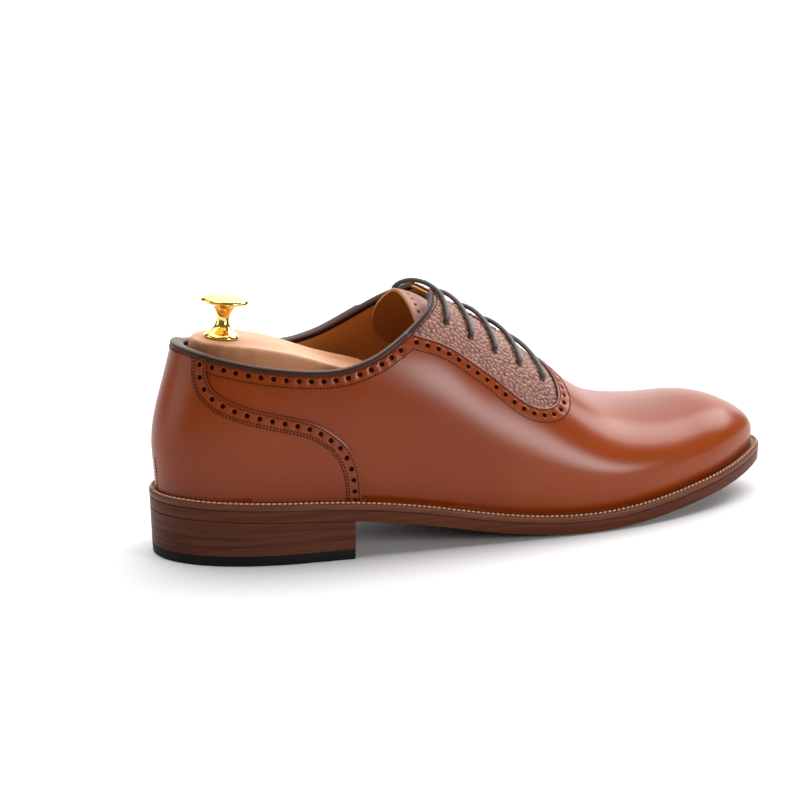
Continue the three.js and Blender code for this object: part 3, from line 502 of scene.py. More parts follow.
def cut_leather(name, field, height, thickness, holes=None, hole_radius=1.05, pit=1.0, spacing=1.6,
                soft=0.3, line_pitch=1.0, relief=None, smooth=50.0):
    """A sheet of leather where the field is positive. Height and thickness are in mm over the last."""
    level_at = height if callable(height) else lambda chart: np.full(len(chart), float(height))
    points, drop, pits, edges, cut = [], [], [], [], []

    def lay(chart, lower=0.0, hole=0.0, closed=None, on_cut=0.0):
        first = sum(len(p) for p in points)
        points.append(chart)
        drop.append(np.full(len(chart), lower))
        pits.append(np.full(len(chart), hole))
        cut.append(np.full(len(chart), on_cut))
        if closed is not None:
            run = list(range(first, first + len(chart)))
            edges.extend(zip(run[:-1], run[1:]))
            if closed:
                edges.append((run[-1], run[0]))

    for level, lower in ((0.0, soft), (INSIDE_EDGE, 0.0)):
        for chain in contour(field, level):
            if len(chain) < 4:
                continue
            closed = bool(np.allclose(chain[0], chain[-1]))
            ends = chain[[0, -1]]
            chain = evenly(soften(chain, 4), line_pitch)
            if not closed:
                chain = np.vstack([ends[:1], chain[1:-1] if np.linalg.norm(
                    (chain[-1] - ends[1]) * CHART_SCALE) < 0.5 else chain[1:], ends[1:]])
            lay(chain, lower, closed=closed, on_cut=1.0 - level * 2)
    if holes is not None:
        rings = (hole_radius + 0.3, 0, 0), (hole_radius, 0.15, 0.3), (hole_radius - 0.2, pit, 1)
        for radius, lower, hole in rings:
            for ring in ring_round(holes, radius):
                lay(ring, lower, hole, closed=True)
        lay(holes, pit, 1.0)
    taken = KDTree(sum(len(p) for p in points))
    for i, p in enumerate(np.vstack([skin(c[:, 0], c[:, 1], level_at(c)) for c in points])):
        taken.insert(p, i)
    taken.balance()
    u = np.linspace(0, 1, int(CHART_SCALE[0] / spacing) + 1)
    w = np.linspace(-1, 1, int(CHART_SCALE[1] / spacing) * 2 + 1)
    grid = np.stack(np.meshgrid(u, w, indexing="ij"), -1).reshape(-1, 2)
    grid = grid[sample(field, grid) > INSIDE_EDGE]
    inner = (grid[:, 0] > 0) & (grid[:, 0] < 1) & (np.abs(grid[:, 1]) < 1)
    places = skin(grid[:, 0], grid[:, 1], level_at(grid))
    far = np.array([taken.find(p)[2] > (0.55 * spacing if ok else 0.3) for p, ok in zip(places, inner)])
    seam = (grid[:, 0] == 0) | (grid[:, 0] == 1)
    lay(grid[far | (seam & (sample(field, grid) > 0.8))])
    chart, drop, pits, cut = np.vstack(points), np.concatenate(drop), np.concatenate(pits), np.concatenate(cut)
    result = delaunay_2d_cdt([Vector(p) for p in (chart * CHART_SCALE).tolist()], edges, [], 0, 1e-6, True)
    out = np.array([tuple(v) for v in result[0]]) / CHART_SCALE
    origin = np.array([o[0] if o else -1 for o in result[3]])
    known = origin >= 0
    drop, pits, cut = (np.where(known, a[origin], 0.0) for a in (drop, pits, cut))
    tris = np.array(result[2])
    tris = tris[sample(field, out[tris].mean(1)) > 0]
    join = np.arange(len(out))
    for end in (0, 1):  # both sides of the chart meet in one line at the heel and at the toe
        seam = np.flatnonzero(np.abs(out[:, 0] - end) < 1e-6)
        lateral, medial = seam[out[seam, 1] < 0], seam[out[seam, 1] > 0]
        if len(lateral) and len(medial):
            apart = np.abs(out[lateral, 1][:, None] + out[medial, 1][None])
            join[lateral] = np.where(apart.min(1) < SEAM_MATCH, medial[apart.argmin(1)], lateral)
    tris = join[tris]
    tris = tris[(tris[:, 0] != tris[:, 1]) & (tris[:, 1] != tris[:, 2]) & (tris[:, 0] != tris[:, 2])]
    used, flat = np.unique(tris, return_inverse=True)
    tris = flat.reshape(-1, 3)
    out, drop, pits, cut = out[used], drop[used], pits[used], cut[used]
    level = level_at(out)
    top = skin(out[:, 0], out[:, 1], level)
    extra = relief(out, top, cut, pits) if relief else 0.0
    outer = skin(out[:, 0], out[:, 1], level - drop + extra)
    under = skin(out[:, 0], out[:, 1], level - thickness)
    for side in (outer, under):
        side[(out[:, 0] < 1e-6) | (out[:, 0] > 1 - 1e-6), 1] = 0
    a, b, c = outer[tris[:, 0]], outer[tris[:, 1]], outer[tris[:, 2]]
    facing_out = (np.cross(b - a, c - a) * normal_at(*out[tris].mean(1).T)).sum(1) > 0
    if facing_out.mean() < 0.5:
        tris = tris[:, ::-1]
    sides = dict.fromkeys((tri[i], tri[(i + 1) % 3]) for tri in tris.tolist() for i in range(3))
    rim = [(p, q) for p, q in sides if (q, p) not in sides]
    n = len(outer)
    faces = tris.tolist() + (tris[:, ::-1] + n).tolist()
    faces += [(q, p, p + n, q + n) for p, q in rim]
    attributes = {
        "pit": np.r_[pits, np.zeros(n)],
        "cut": np.r_[cut, np.ones(n)],
        "rise": np.tile(1 - np.abs(out[:, 1]), 2),
        "below_top": np.tile(sample(TOP_RULE, out), 2),
    }
    if relief:
        attributes["crease"] = np.r_[extra / np.abs(extra).max() + 0.5, np.zeros(n)]
    return make_mesh(name, np.vstack([outer, under]), faces, smooth=smooth, attributes=attributes)


# %% [markdown]
# ### Vamp, quarters and foxing
# The burnished calf is one smooth skin: it stops just short of the binding and leaves a long U open for the
# facings. The foxing is a second layer round the heel, so its edge stands up and catches the light.

# %% The burnished leathers
UNDER_BINDING = TOP_RULE - BINDING_DEPTH - 0.1
FOX_TOP = 5.2
upper = cut_leather("upper_leather", np.minimum(UNDER_BINDING, -FACE_RULE), LEATHER_TOP, 1.2,
                    holes=UPPER_HOLES, hole_radius=1.2, spacing=1.7)
foxing = cut_leather("foxing_leather", np.minimum(UNDER_BINDING, FOX_RULE), FOX_TOP, 1.1,
                     holes=FOX_HOLE_SPOTS, hole_radius=1.15, spacing=1.7)

# %% [markdown]
# ### Facings
# The facings are pebbled calf. The grain is real relief here: seeds are scattered over the leather about 2 mm
# apart, and each seed carries a small dome that ends where its neighbour's begins, which gives the rounded
# islands of a printed grain.

# %% Lacing plane and pebbled facings
LACING_TILT = math.radians(35)
LACING_TOP = np.array([124.0, -1.0, 111.0])
GAP_END, GAP_TOP, GAP_FOOT = 68.0, 19.0, 10.0
EYELETS, EYELET_FIRST, EYELET_PITCH, EYELET_SPREAD = 5, 5.8, 14.2, 23.0
tilt_cos, tilt_sin = math.cos(LACING_TILT), math.sin(LACING_TILT)


def to_lacing(points):
    p = points - LACING_TOP
    return np.stack([p[..., 0] * tilt_cos - p[..., 2] * tilt_sin, p[..., 1],
                     p[..., 0] * tilt_sin + p[..., 2] * tilt_cos], -1)


def lacing_seat(s, y):
    """The chart point that lies over a point of the lacing plane."""
    at = np.array([math.acos(1 - 2 * (LACING_TOP[0] + s * tilt_cos) / LAST_LENGTH) / math.pi, y / 70 + 1e-4])
    for _ in range(12):
        trial = np.array([at, at + [1e-4, 0], at + [0, 1e-4]])
        here, by_u, by_w = to_lacing(skin(trial[:, 0], trial[:, 1], 0.0))[:, :2]
        at = at + np.linalg.solve(np.stack([by_u - here, by_w - here], 1) / 1e-4, np.array([s, y]) - here)
    return at


on_plane = to_lacing(skin(map_u, map_w, 1.5))
gap_half = GAP_TOP / 2 + (GAP_FOOT - GAP_TOP) / 2 * on_plane[..., 0] / GAP_END
past_end = on_plane[..., 0] - GAP_END
across_gap = np.abs(on_plane[..., 1]) - gap_half
GAP_FIELD = np.where((past_end > -4) & (across_gap < 0),
                     np.maximum(across_gap, past_end), np.where(past_end > 0, np.maximum(past_end, 0), across_gap))
GAP_FIELD = np.where(on_plane[..., 0] < -30, 10.0, GAP_FIELD)  # behind the throat there is no gap
EYELET_SPOTS = np.array([lacing_seat(EYELET_FIRST + k * EYELET_PITCH, side * EYELET_SPREAD)
                         for side in (-1, 1) for k in range(EYELETS)])
PEBBLE = 1.9


def pebbles(chart, places, cut, pits):
    order = rng.permutation(len(places))
    seeds = []
    tree = KDTree(len(places))
    for i, p in enumerate(places):
        tree.insert(p, i)
    tree.balance()
    taken = np.zeros(len(places), bool)
    for i in order:
        if not taken[i]:
            seeds.append(i)
            for _, j, _ in tree.find_range(places[i], PEBBLE * rng.uniform(0.75, 1.15)):
                taken[j] = True
    grains = KDTree(len(seeds))
    for i in seeds:
        grains.insert(places[i], i)
    grains.balance()
    near = [grains.find_n(p, 2) for p in places]
    first, second = (np.array([n[i][2] for n in near]) for i in (0, 1))
    dome = np.clip(1 - (first / (0.5 * (first + second) + 0.35)) ** 2, 0, 1)
    dome *= 1 - np.exp(-(second - first) / 0.25)
    return np.where(pits > 0, 0, (dome - 0.5) * 0.62) * (1 - 0.7 * cut)


facing_field = np.minimum(np.minimum(UNDER_BINDING, FACE_RULE + 4.0), GAP_FIELD)
facings = cut_leather("pebbled_facings", facing_field, 2.3, 1.0, holes=EYELET_SPOTS, hole_radius=1.55,
                      pit=0.9, spacing=0.40, soft=0.2, line_pitch=0.8, relief=pebbles, smooth=0)
facings.data.shade_smooth()

# %% [markdown]
# ### Lining and tongue
# The lining is the innermost layer and shows round the throat. The tongue lies under the lace, and its
# rounded top stands up inside the throat with the lining colour on its inner face.

# %% Lining and tongue
lining = cut_leather("lining_leather", np.minimum(TOP_RULE - 1.0, GAP_FIELD), 1.0, 0.9, spacing=2.4, soft=0.2)
TONGUE_OUTER, TONGUE_INNER = [[109.8, 108], [110, 100], [110.6, 92], [113.5, 84]], [
    [109.2, 108], [106.4, 100], [106.2, 93], [108.2, 86.6], [112.4, 82.4]]
TONGUE_RUN = [[120, 77.5], [140, 64], [158, 51], [176, 41], [189, 39], [194, 48]]
tongue_points = skin(map_u, map_w, -4.3)


def tongue_side(end):
    line = np.vstack([[[194, 130], [end[0][0], 130]], smooth_line(end + TONGUE_RUN, 6), [[194, 130]]])
    return signed(line, line, tongue_points)


tongue_field = np.where(map_w < 0, tongue_side(TONGUE_OUTER), tongue_side(TONGUE_INNER))
TONGUE_TOP, TONGUE_RISE_START, TONGUE_RISE = -3.55, 185.0, 0.37


def tongue_height(chart):
    x = LAST_LENGTH / 2 * (1 - np.cos(np.pi * chart[:, 0]))
    return TONGUE_TOP + TONGUE_RISE * np.maximum(0, x - TONGUE_RISE_START)


tongue_row = evenly(soften(contour(tongue_field, 3.3)[0]), HOLE_PITCH, 0.4)
tongue_row = tongue_row[skin(*tongue_row.T, -3.55)[:, 0] < 119]
tongue = cut_leather("tongue_leather", tongue_field, tongue_height, 1.5, holes=tongue_row, spacing=1.4, soft=0.4)

# %% [markdown]
# ## Stitches
# Fine seams are rows of short tight stitches of dark thread, each sunk a little at its ends. One small rounded
# bead is copied along every row: real geometry keeps its shine and shadow from any side.


# %% Beads along a line
def bead(rings=5, sides=6):
    """A rounded bead of length 1 and radius 1 along X, as points and faces."""
    points, faces = [], []
    for i in range(rings):
        t = i / (rings - 1)
        r = math.sin(math.pi * (0.12 + 0.76 * t)) ** 0.6
        for j in range(sides):
            a = 2 * math.pi * j / sides
            points.append([t - 0.5, r * math.cos(a), r * math.sin(a)])
    for i in range(rings - 1):
        for j in range(sides):
            k = (j + 1) % sides
            faces.append([i * sides + j, (i + 1) * sides + j, (i + 1) * sides + k, i * sides + k])
    faces += [list(range(sides)), [(rings - 1) * sides + j for j in reversed(range(sides))]]
    return np.array(points), faces


def beads(name, centres, directions, normals, length, radius):
    """One bead at each centre, laid along its direction, all in one mesh."""
    base, base_faces = bead()
    side = np.cross(normals, directions)
    points = (centres[:, None] + base[None, :, 0, None] * length * directions[:, None]
              + base[None, :, 1, None] * radius * side[:, None] + base[None, :, 2, None] * radius * normals[:, None])
    faces = [[v + len(base) * i for v in f] for i in range(len(centres)) for f in base_faces]
    return make_mesh(name, points.reshape(-1, 3), faces, smooth=80)


STITCH_PITCH, STITCH_LENGTH, THREAD = 1.5, 0.95, 0.36


def stitch_frames(chart):
    """Where the stitches of a row lie, which way each runs and which way is out of the leather."""
    spots = evenly(chart, STITCH_PITCH)
    leather = np.where(sample(FOX_RULE, spots) > 0.3, FOX_TOP, LEATHER_TOP)
    places = skin(spots[:, 0], spots[:, 1], leather + 0.05)
    ahead = np.gradient(places, axis=0)
    normal = normal_at(spots[:, 0], spots[:, 1])
    ahead -= (ahead * normal).sum(1, keepdims=True) * normal
    return places, ahead / np.linalg.norm(ahead, axis=1, keepdims=True), normal


parts = [stitch_frames(chart) for rows in STITCH_ROWS.values() for chart in rows]
seams = beads("seam_stitches", *[np.vstack([p[i] for p in parts]) for i in range(3)], STITCH_LENGTH, THREAD)
print("stitches:", sum(len(p[0]) for p in parts))

# %% [markdown]
# ### Binding
# The top edge is wrapped in a dark strip: a rounded piping on the very edge with a flat fold under it, which
# reads as a double line. The fold is painted darker than the piping, as painted shade under it. It is a profile
# carried along the top edge of the shoe.


# %% The binding
def sweep(name, centres, across, up, profiles, attributes):
    """A closed profile of (across, up) pairs carried along a line. Profiles may change from point to point."""
    n, m = len(centres), profiles.shape[-2]
    shape = np.broadcast_to(profiles, (n, m, 2))
    points = centres[:, None] + shape[..., :1] * across[:, None] + shape[..., 1:] * up[:, None]
    faces = [[i * m + j, i * m + (j + 1) % m, (i + 1) * m + (j + 1) % m, (i + 1) * m + j]
             for i in range(n - 1) for j in range(m)]
    faces += [[m - 1 - j for j in range(m)], [(n - 1) * m + j for j in range(m)]]
    values = {k: np.broadcast_to(v, (n, m)).reshape(-1) for k, v in attributes.items()}
    return make_mesh(name, points.reshape(-1, 3), faces, smooth=60, attributes=values)


halves = [evenly(run if run[0, 0] < run[-1, 0] else run[::-1], 1.2)
          for run in sorted(runs_where(soften(contour(TOP_RULE, 0.05)[0]), (GAP_FIELD, -0.2, WIDE))[:2],
                            key=lambda run: run[:, 1].mean())]
edge_chart = np.vstack([halves[0][::-1], halves[1][1:]])
edge_line = skin(edge_chart[:, 0], edge_chart[:, 1], 0.0)
normal = normal_at(edge_chart[:, 0], edge_chart[:, 1])
ahead = np.gradient(skin(edge_chart[:, 0], edge_chart[:, 1], 2.0), axis=0)
down = np.cross(normal, ahead)
down /= np.linalg.norm(down, axis=1, keepdims=True)
down *= np.sign((down[:, 2] < 0) - 0.5)[:, None]
lift = np.clip(sample(FOX_RULE, edge_chart) / 1.2 + 0.5, 0, 1) * (FOX_TOP - LEATHER_TOP)
lower_face = np.clip((sample(FACE_RULE, edge_chart) + 1) / 2, 0, 1) * (LEATHER_TOP - 2.3 - 0.3)
outside = LEATHER_TOP + 0.1 + lift - lower_face
turn = np.linspace(0, np.pi, 9)
profiles = np.zeros((len(edge_chart), 3 + 9 + 4, 2))
profiles[:, :3] = [[2.5, -0.25], [1.4, -0.45], [0.6, -0.4]]
middle, half = outside / 2, (outside + 0.4) / 2
profiles[:, 3:12, 0] = 0.65 - 0.75 * np.sin(turn)
profiles[:, 3:12, 1] = middle[:, None] - half[:, None] * np.cos(turn)
profiles[:, 12:, 0] = [1.1, 1.25, 1.45, BINDING_DEPTH]
profiles[:, 12:, 1] = outside[:, None] + np.array([0.35, -0.15, 0.2, 0.05])
binding = sweep("edge_binding", edge_line, down, normal, profiles,
                attributes={"bead": np.r_[np.zeros(3), np.ones(9), 0.3, 0.0, 0.0, 0.0]})

# %% [markdown]
# ### Lace
# A round waxed lace goes straight across inside from each inner eyelet to its outer one and comes back over the
# tongue on a slant. Its path is a list of points over the lacing; the strand is carried along a smooth curve
# through them.

# %% The lace
LACE_RADIUS, HOLE_RADIUS = 1.1, 1.5
TOP_RUN, INNER_RUN = 2.3 + 0.35 + LACE_RADIUS, -1.05 - LACE_RADIUS
BEND = [math.radians(a) for a in (0, 30, 60, 90)]


def lacing_point(s, y, height):
    seat = lacing_seat(s, y)
    return skin(seat[0], seat[1], height)


def through_eyelet(s, y, outer, inner):
    """The bend over a hole's rim from outside, and the bend under it inside."""
    def beside(way, share, height):
        return lacing_point(s + way[0] * HOLE_RADIUS * share, y + way[1] * HOLE_RADIUS * share, height)

    over = [beside(outer, 1 - math.sin(a), TOP_RUN - HOLE_RADIUS * (1 - math.cos(a))) for a in BEND]
    under = [beside(inner, 1 - math.cos(a), INNER_RUN + HOLE_RADIUS * (1 - math.sin(a))) for a in BEND]
    return over + under


slant = np.array([-EYELET_PITCH, 2 * EYELET_SPREAD])
slant /= np.linalg.norm(slant)
path = []
for k in range(EYELETS - 1, -1, -1):
    s = EYELET_FIRST + k * EYELET_PITCH
    if k == EYELETS - 1:
        path.append(lacing_point(s, 20, INNER_RUN))
    path += [lacing_point(s, y, INNER_RUN) for y in (13, 7, 0, -7, -13, -18)]
    path += through_eyelet(s, -EYELET_SPREAD, slant if k else (-0.2, 1), (0, 1))[::-1]
    if k:
        path += [lacing_point(s - EYELET_PITCH * t, EYELET_SPREAD * (2 * t - 1), TOP_RUN)
                 for t in (0.15, 0.3, 0.42, 0.5, 0.58, 0.7, 0.85)]
        path += through_eyelet(s - EYELET_PITCH, EYELET_SPREAD, -slant, (0, -1))
        path.append(lacing_point(s - EYELET_PITCH, 18, INNER_RUN))
path += [lacing_point(*p) for p in ((4.8, -17, TOP_RUN), (3.6, -11, TOP_RUN), (1, -6, TOP_RUN), (-3, -1.5, 3.2),
                                    (-7, 3, 1.6), (-9.5, 8, -0.8), (-9, 12.5, INNER_RUN), (-5, 15.5, INNER_RUN),
                                    (-1, 16.5, INNER_RUN))]


def even_curve(points, pitch):
    """A centripetal Catmull-Rom curve with points at an even pitch."""
    p = np.array(points)
    p = np.vstack([2 * p[0] - p[1], p, 2 * p[-1] - p[-2]])
    out = []
    for a, b, c, d in zip(p[:-3], p[1:-2], p[2:-1], p[3:]):
        t0 = 0.0
        t1 = t0 + math.sqrt(np.linalg.norm(b - a)) + 1e-9
        t2 = t1 + math.sqrt(np.linalg.norm(c - b)) + 1e-9
        t3 = t2 + math.sqrt(np.linalg.norm(d - c)) + 1e-9
        t = np.linspace(t1, t2, 12, endpoint=False)[:, None]
        ab = ((t1 - t) * a + (t - t0) * b) / (t1 - t0)
        bc = ((t2 - t) * b + (t - t1) * c) / (t2 - t1)
        cd = ((t3 - t) * c + (t - t2) * d) / (t3 - t2)
        abc = ((t2 - t) * ab + (t - t0) * bc) / (t2 - t0)
        bcd = ((t3 - t) * bc + (t - t1) * cd) / (t3 - t1)
        out.append(((t2 - t) * abc + (t - t1) * bcd) / (t2 - t1))
    line = np.vstack(out)
    run = length_of(line)
    at = np.linspace(0, run[-1], int(run[-1] / pitch))
    return np.stack([np.interp(at, run, line[:, i]) for i in range(3)], -1)


def strand(name, line, radius, sides):
    """A round strand with a frame that doesn't twist along it."""
    ahead = np.gradient(line, axis=0)
    ahead /= np.linalg.norm(ahead, axis=1, keepdims=True)
    across = [np.cross(ahead[0], [0, 0, 1.0])]
    for t in ahead[1:]:
        a = across[-1] - (across[-1] @ t) * t
        across.append(a / np.linalg.norm(a))
    across = np.array(across)
    angle = np.linspace(0, 2 * np.pi, sides, endpoint=False)
    profile = radius * np.stack([np.cos(angle), np.sin(angle)], -1)
    return sweep(name, line, across, np.cross(ahead, across), profile,
                 attributes={"run": length_of(line)[:, None], "turn": np.arange(sides)[None] / sides})


lace_line = even_curve(path, 0.8)
lace = strand("waxed_lace", lace_line, LACE_RADIUS, 12)
print("lace length:", round(float(length_of(lace_line)[-1])), "mm")

# %% [markdown]
# ## Under the foot
# The welt is the ledge round the shoe that carries the sole stitching. Sole, welt, heel lifts and rubber all
# follow the outline of the last at some distance, so one function lofts a ring of points up through a few
# levels and closes it with strips across.


# %% Rings round the last
RING = 700
WALL_W = 1 - WALL_SHARE


def outline(margin, x_end=None):
    """The outer and inner side of the foot's outline at a margin, from heel to toe or to a straight breast."""
    u = (1 - np.cos(np.linspace(0, np.pi, RING))) / 2
    if x_end is not None:
        trial_u = np.linspace(0, 0.6, 2000)
        trial = skin(trial_u, -WALL_W + 0 * trial_u, float(margin))[:, 0]
        u = np.linspace(0, 1, RING // 3) ** 1.3 * np.interp(x_end, trial, trial_u)
    sides = []
    for side in (-1, 1):
        p = skin(u, side * WALL_W + 0 * u, np.full(len(u), float(margin)))[:, :2]
        p[0, 1] = 0
        if x_end is None:
            p[-1, 1] = 0
        else:
            p[-1, 0] = x_end
        sides.append(p)
    return sides


def ring_at(margin, height, x_end=None):
    lateral, medial = outline(margin, x_end)
    back = medial[-2:0:-1] if x_end is None else medial[:0:-1]
    ring = np.vstack([lateral, back])
    return np.column_stack([ring, height(ring[:, 0])]), len(lateral)


def loft(name, levels, x_end=None, across=10, crowned=False, smooth=40):
    """A solid from (margin, height at x) levels, from the bottom up, closed by strips across."""
    rings = [ring_at(margin, height, x_end) for margin, height in levels]
    m, n = len(rings[0][0]), rings[0][1]
    points = [p for ring, _ in rings for p in ring]
    faces = [[k * m + i, k * m + (i + 1) % m, (k + 1) * m + (i + 1) % m, (k + 1) * m + i]
             for k in range(len(levels) - 1) for i in range(m)]
    for base, below in ((0, True), ((len(levels) - 1) * m, False)):
        strips = []
        for i in range(n):
            a, b = base + i, base + (m - i) % m
            if i == 0 or (x_end is None and i == n - 1):
                strips.append([a] * (across + 1))
                continue
            start = len(points)
            for s in range(1, across):
                p = points[a] + (points[b] - points[a]) * s / across
                if crowned and below:
                    p[2] -= float(crown(p[0] / LAST_LENGTH)) * (1 - (2 * s / across - 1) ** 2)
                points.append(p)
            strips.append([a, *range(start, start + across - 1), b])
        for g, h in zip(strips[:-1], strips[1:]):
            for s in range(across):
                quad = list(dict.fromkeys([g[s], h[s], h[s + 1], g[s + 1]]))
                if len(quad) > 2:
                    faces.append(quad[::-1] if below else quad)
    return make_mesh(name, np.array(points), faces, smooth=smooth)


# %% Outsole, heel lifts and rubber
OUTSOLE, WELT, TOP_PIECE, LIFTS, GLUE = 5.5, 3.0, 4.8, 4, 0.04
SOLE_MARGIN, HEEL_TAPER = FOX_TOP + 2.6, 0.5


def over_sole(height):
    return lambda x: sole_top(x) + height


outsole = loft("outsole_leather", [(SOLE_MARGIN + out, over_sole(up)) for out, up in (
    (-1.0, -5.5), (-0.5, -5.3), (-0.32, -4.8), (-0.1, -0.8), (-0.15, -0.3), (-0.5, 0))], crowned=True)


def lift_floor(k):
    return lambda x: TOP_PIECE + (k / LIFTS) * (sole_top(x) - OUTSOLE - TOP_PIECE)


def heel_margin(k):
    return SOLE_MARGIN - 0.3 - HEEL_TAPER * (1 - k / LIFTS)


BEVEL = 0.04
lifts = []
for k in range(LIFTS):
    floor, roof = lift_floor(k), lift_floor(k + 1)
    low, high = heel_margin(k), heel_margin(k + 1)
    lifts.append(loft(f"stacked_lift_{k + 1}", [
        (low - BEVEL, floor), (low, lambda x, f=floor: f(x) + BEVEL),
        (high, lambda x, r=roof: r(x) - GLUE - BEVEL), (high - BEVEL, lambda x, r=roof: r(x) - GLUE),
    ], x_end=BREAST))
low = heel_margin(0)
rubber = loft("rubber_heel", [
    (low - 0.9, lambda x: 0 * x), (low - 0.35, lambda x: 0 * x + 0.3), (low, lambda x: 0 * x + TOP_PIECE - 0.3),
    (low - 0.1, lambda x: 0 * x + TOP_PIECE - GLUE)], x_end=BREAST)

# %% [markdown]
# ### Welt
# The welt's top is pressed with a wheel between the stitches, which leaves a row of small notches, and a light
# thread runs round it. The notches are cut into the band itself, and each stitch is a bead.

# %% Welt and its stitching
NOTCH, FOXING_FOOT = 2.4, 73
WELT_STITCH, WELT_THREAD = 2.0, 0.55


def inner_ring(height):
    """The welt's inner edge: against the foxing at the heel, against the vamp in front of it."""
    back, _ = ring_at(FOX_TOP + 0.25, over_sole(height))
    fore, _ = ring_at(LEATHER_TOP + 0.25, over_sole(height))
    share = np.clip((back[:, :1] - FOXING_FOOT) / 4, 0, 1)
    return back + (fore - back) * share


def notched_ring(margin, height, notch):
    """A ring round the welt's outer side, pressed down between each two stitches."""
    ring, _ = ring_at(SOLE_MARGIN + margin, over_sole(height))
    dent = np.maximum(0, np.cos(2 * np.pi * length_of(ring) / NOTCH)) ** 3
    ring[:, 2] -= notch * dent
    return ring


welt_rings = [inner_ring(GLUE), *(notched_ring(*level) for level in (
    (-0.4, GLUE, 0), (0, GLUE + 0.35, 0), (0.02, 1.9, 0), (-0.1, 2.75, 0.45), (-0.45, 3.1, 0.6), (-1.1, 3.15, 0.1),
    (-1.6, 3.1, 0))), inner_ring(GLUE + WELT)]
levels, m = len(welt_rings), len(welt_rings[0])
welt = make_mesh("welt_strip", np.vstack(welt_rings), [
    [k * m + i, k * m + (i + 1) % m, (k + 1) % levels * m + (i + 1) % m, (k + 1) % levels * m + i]
    for k in range(levels) for i in range(m)], smooth=60)
stitch_line, _ = ring_at(SOLE_MARGIN - 1.15, over_sole(3.2))
stitch_line = np.vstack([stitch_line, stitch_line[:1]])
run = length_of(stitch_line)
at = np.arange(NOTCH / 2, run[-1] - NOTCH / 2, NOTCH)
centres = np.stack([np.interp(at, run, stitch_line[:, i]) for i in range(3)], -1)
ahead = np.gradient(centres, axis=0)
ahead /= np.linalg.norm(ahead, axis=1, keepdims=True)
lean = np.cross([0, 0, 1.0], ahead) * 0.28
ahead = (ahead + lean) / np.linalg.norm(ahead + lean, axis=1, keepdims=True)
welt_seam = beads("welt_stitches", centres, ahead, np.tile([0, 0, 1.0], (len(at), 1)), WELT_STITCH,
                  WELT_THREAD)
print("welt stitches:", len(at))

# %% [markdown]
# ## The shoe tree
# The cedar blocks are sanded, so every edge is a little round. The workshop blocks are voxel-remeshed, which
# rounds them evenly, and then smoothed. The brass knob is turned, so its profile is spun round its own axis.


# %% Sanded blocks
def sanded(name, node, body, voxel=0.0007, rounds=8):
    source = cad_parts[node]
    obj = bpy.data.objects.new(name, source.data.copy())
    bpy.context.scene.collection.objects.link(obj)
    remesh = obj.modifiers.new("voxels", "REMESH")
    remesh.mode, remesh.voxel_size = "VOXEL", voxel
    relax = obj.modifiers.new("sanding", "SMOOTH")
    relax.factor, relax.iterations = 0.5, rounds
    bpy.context.view_layer.update()
    mesh = bpy.data.meshes.new_from_object(obj.evaluated_get(bpy.context.evaluated_depsgraph_get()))
    obj.modifiers.clear()
    obj.data = mesh
    mesh.shade_smooth()
    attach(obj, body)
    print(f"{name}: {len(mesh.polygons)} faces")
    return obj


heel_block = sanded("cedar_heel_block", "tree_heel_block", "tree_heel")
fore_outer = sanded("cedar_fore_outer", "tree_fore_lateral", "shoe", 0.0009)
fore_inner = sanded("cedar_fore_inner", "tree_fore_medial", "tree_medial", 0.0009)


# %% Turned parts
def turned(name, profile, seat, axis, segments, body, smooth=35):
    axis = np.array(axis, float) / np.linalg.norm(axis)
    across = np.cross(axis, [0, 1.0, 0]) if abs(axis[1]) < 0.9 else np.cross(axis, [1.0, 0, 0])
    across /= np.linalg.norm(across)
    angle = np.linspace(0, 2 * np.pi, segments, endpoint=False)
    round_way = np.cos(angle)[:, None] * across + np.sin(angle)[:, None] * np.cross(axis, across)
    profile = np.array(profile, float)
    points = [seat + axis * profile[0, 1]]
    for r, h in profile[1:-1]:
        points += list(seat + axis * h + r * round_way)
    points.append(seat + axis * profile[-1, 1])
    rings, n = len(profile) - 2, segments
    faces = [[0, 1 + (j + 1) % n, 1 + j] for j in range(n)]
    faces += [[1 + i * n + j, 1 + i * n + (j + 1) % n, 1 + (i + 1) * n + (j + 1) % n, 1 + (i + 1) * n + j]
              for i in range(rings - 1) for j in range(n)]
    top, last = len(points) - 1, 1 + (rings - 1) * n
    faces += [[top, last + j, last + (j + 1) % n] for j in range(n)]
    return make_mesh(name, np.array(points), faces, body, smooth)


KNOB_LEAN = math.radians(6.4)
knob_axis = (math.sin(KNOB_LEAN), 0, math.cos(KNOB_LEAN))
knob_curve = smooth_line([
    [7.4, 0.1], [7.8, 0.5], [7.75, 1.1], [6.9, 2.1], [4.9, 3.9], [3.3, 6], [2.75, 8.2], [3.1, 10.6], [4.3, 13],
    [6.4, 14.8], [9.4, 15.8], [10.85, 16.55], [11, 17.0], [10.8, 17.5], [9.8, 18.3], [6, 19.5], [2, 19.95]], 5)
KNOB_SEAT = np.array([25.6, 1, 96.2])
knob = turned("brass_knob", [[0, 0.1], *knob_curve, [0, 20]], KNOB_SEAT, knob_axis, 96, "tree_heel", 60)
TREE_Y, TREE_Z = -6.0, 47.0
tube_line = [[0, 2], [2.6, 2], [2.7, 0.2], [3, 0], [4.3, 0], [4.5, 0.3],
             [4.5, 59.7], [4.3, 60], [3, 60], [2.7, 59.8], [2.7, 58], [0, 58]]
tube = turned("brass_tube", tube_line, np.array([62, TREE_Y, TREE_Z]), (1, 0, 0), 48, "tree_heel")
rod = turned("steel_rod", [[0, 0], [2.4, 0], [2.6, 0.3], [2.6, 75.7], [2.4, 76], [0, 76]],
             np.array([92, TREE_Y, TREE_Z]), (1, 0, 0), 32, "shoe")

# %% [markdown]
# ## Finishes
# Shader maths is easier to read as sums than as boxes and wires. This small class wraps a socket, so `a * 2 + b`
# lays down the Math nodes, and `mix` blends two colours.


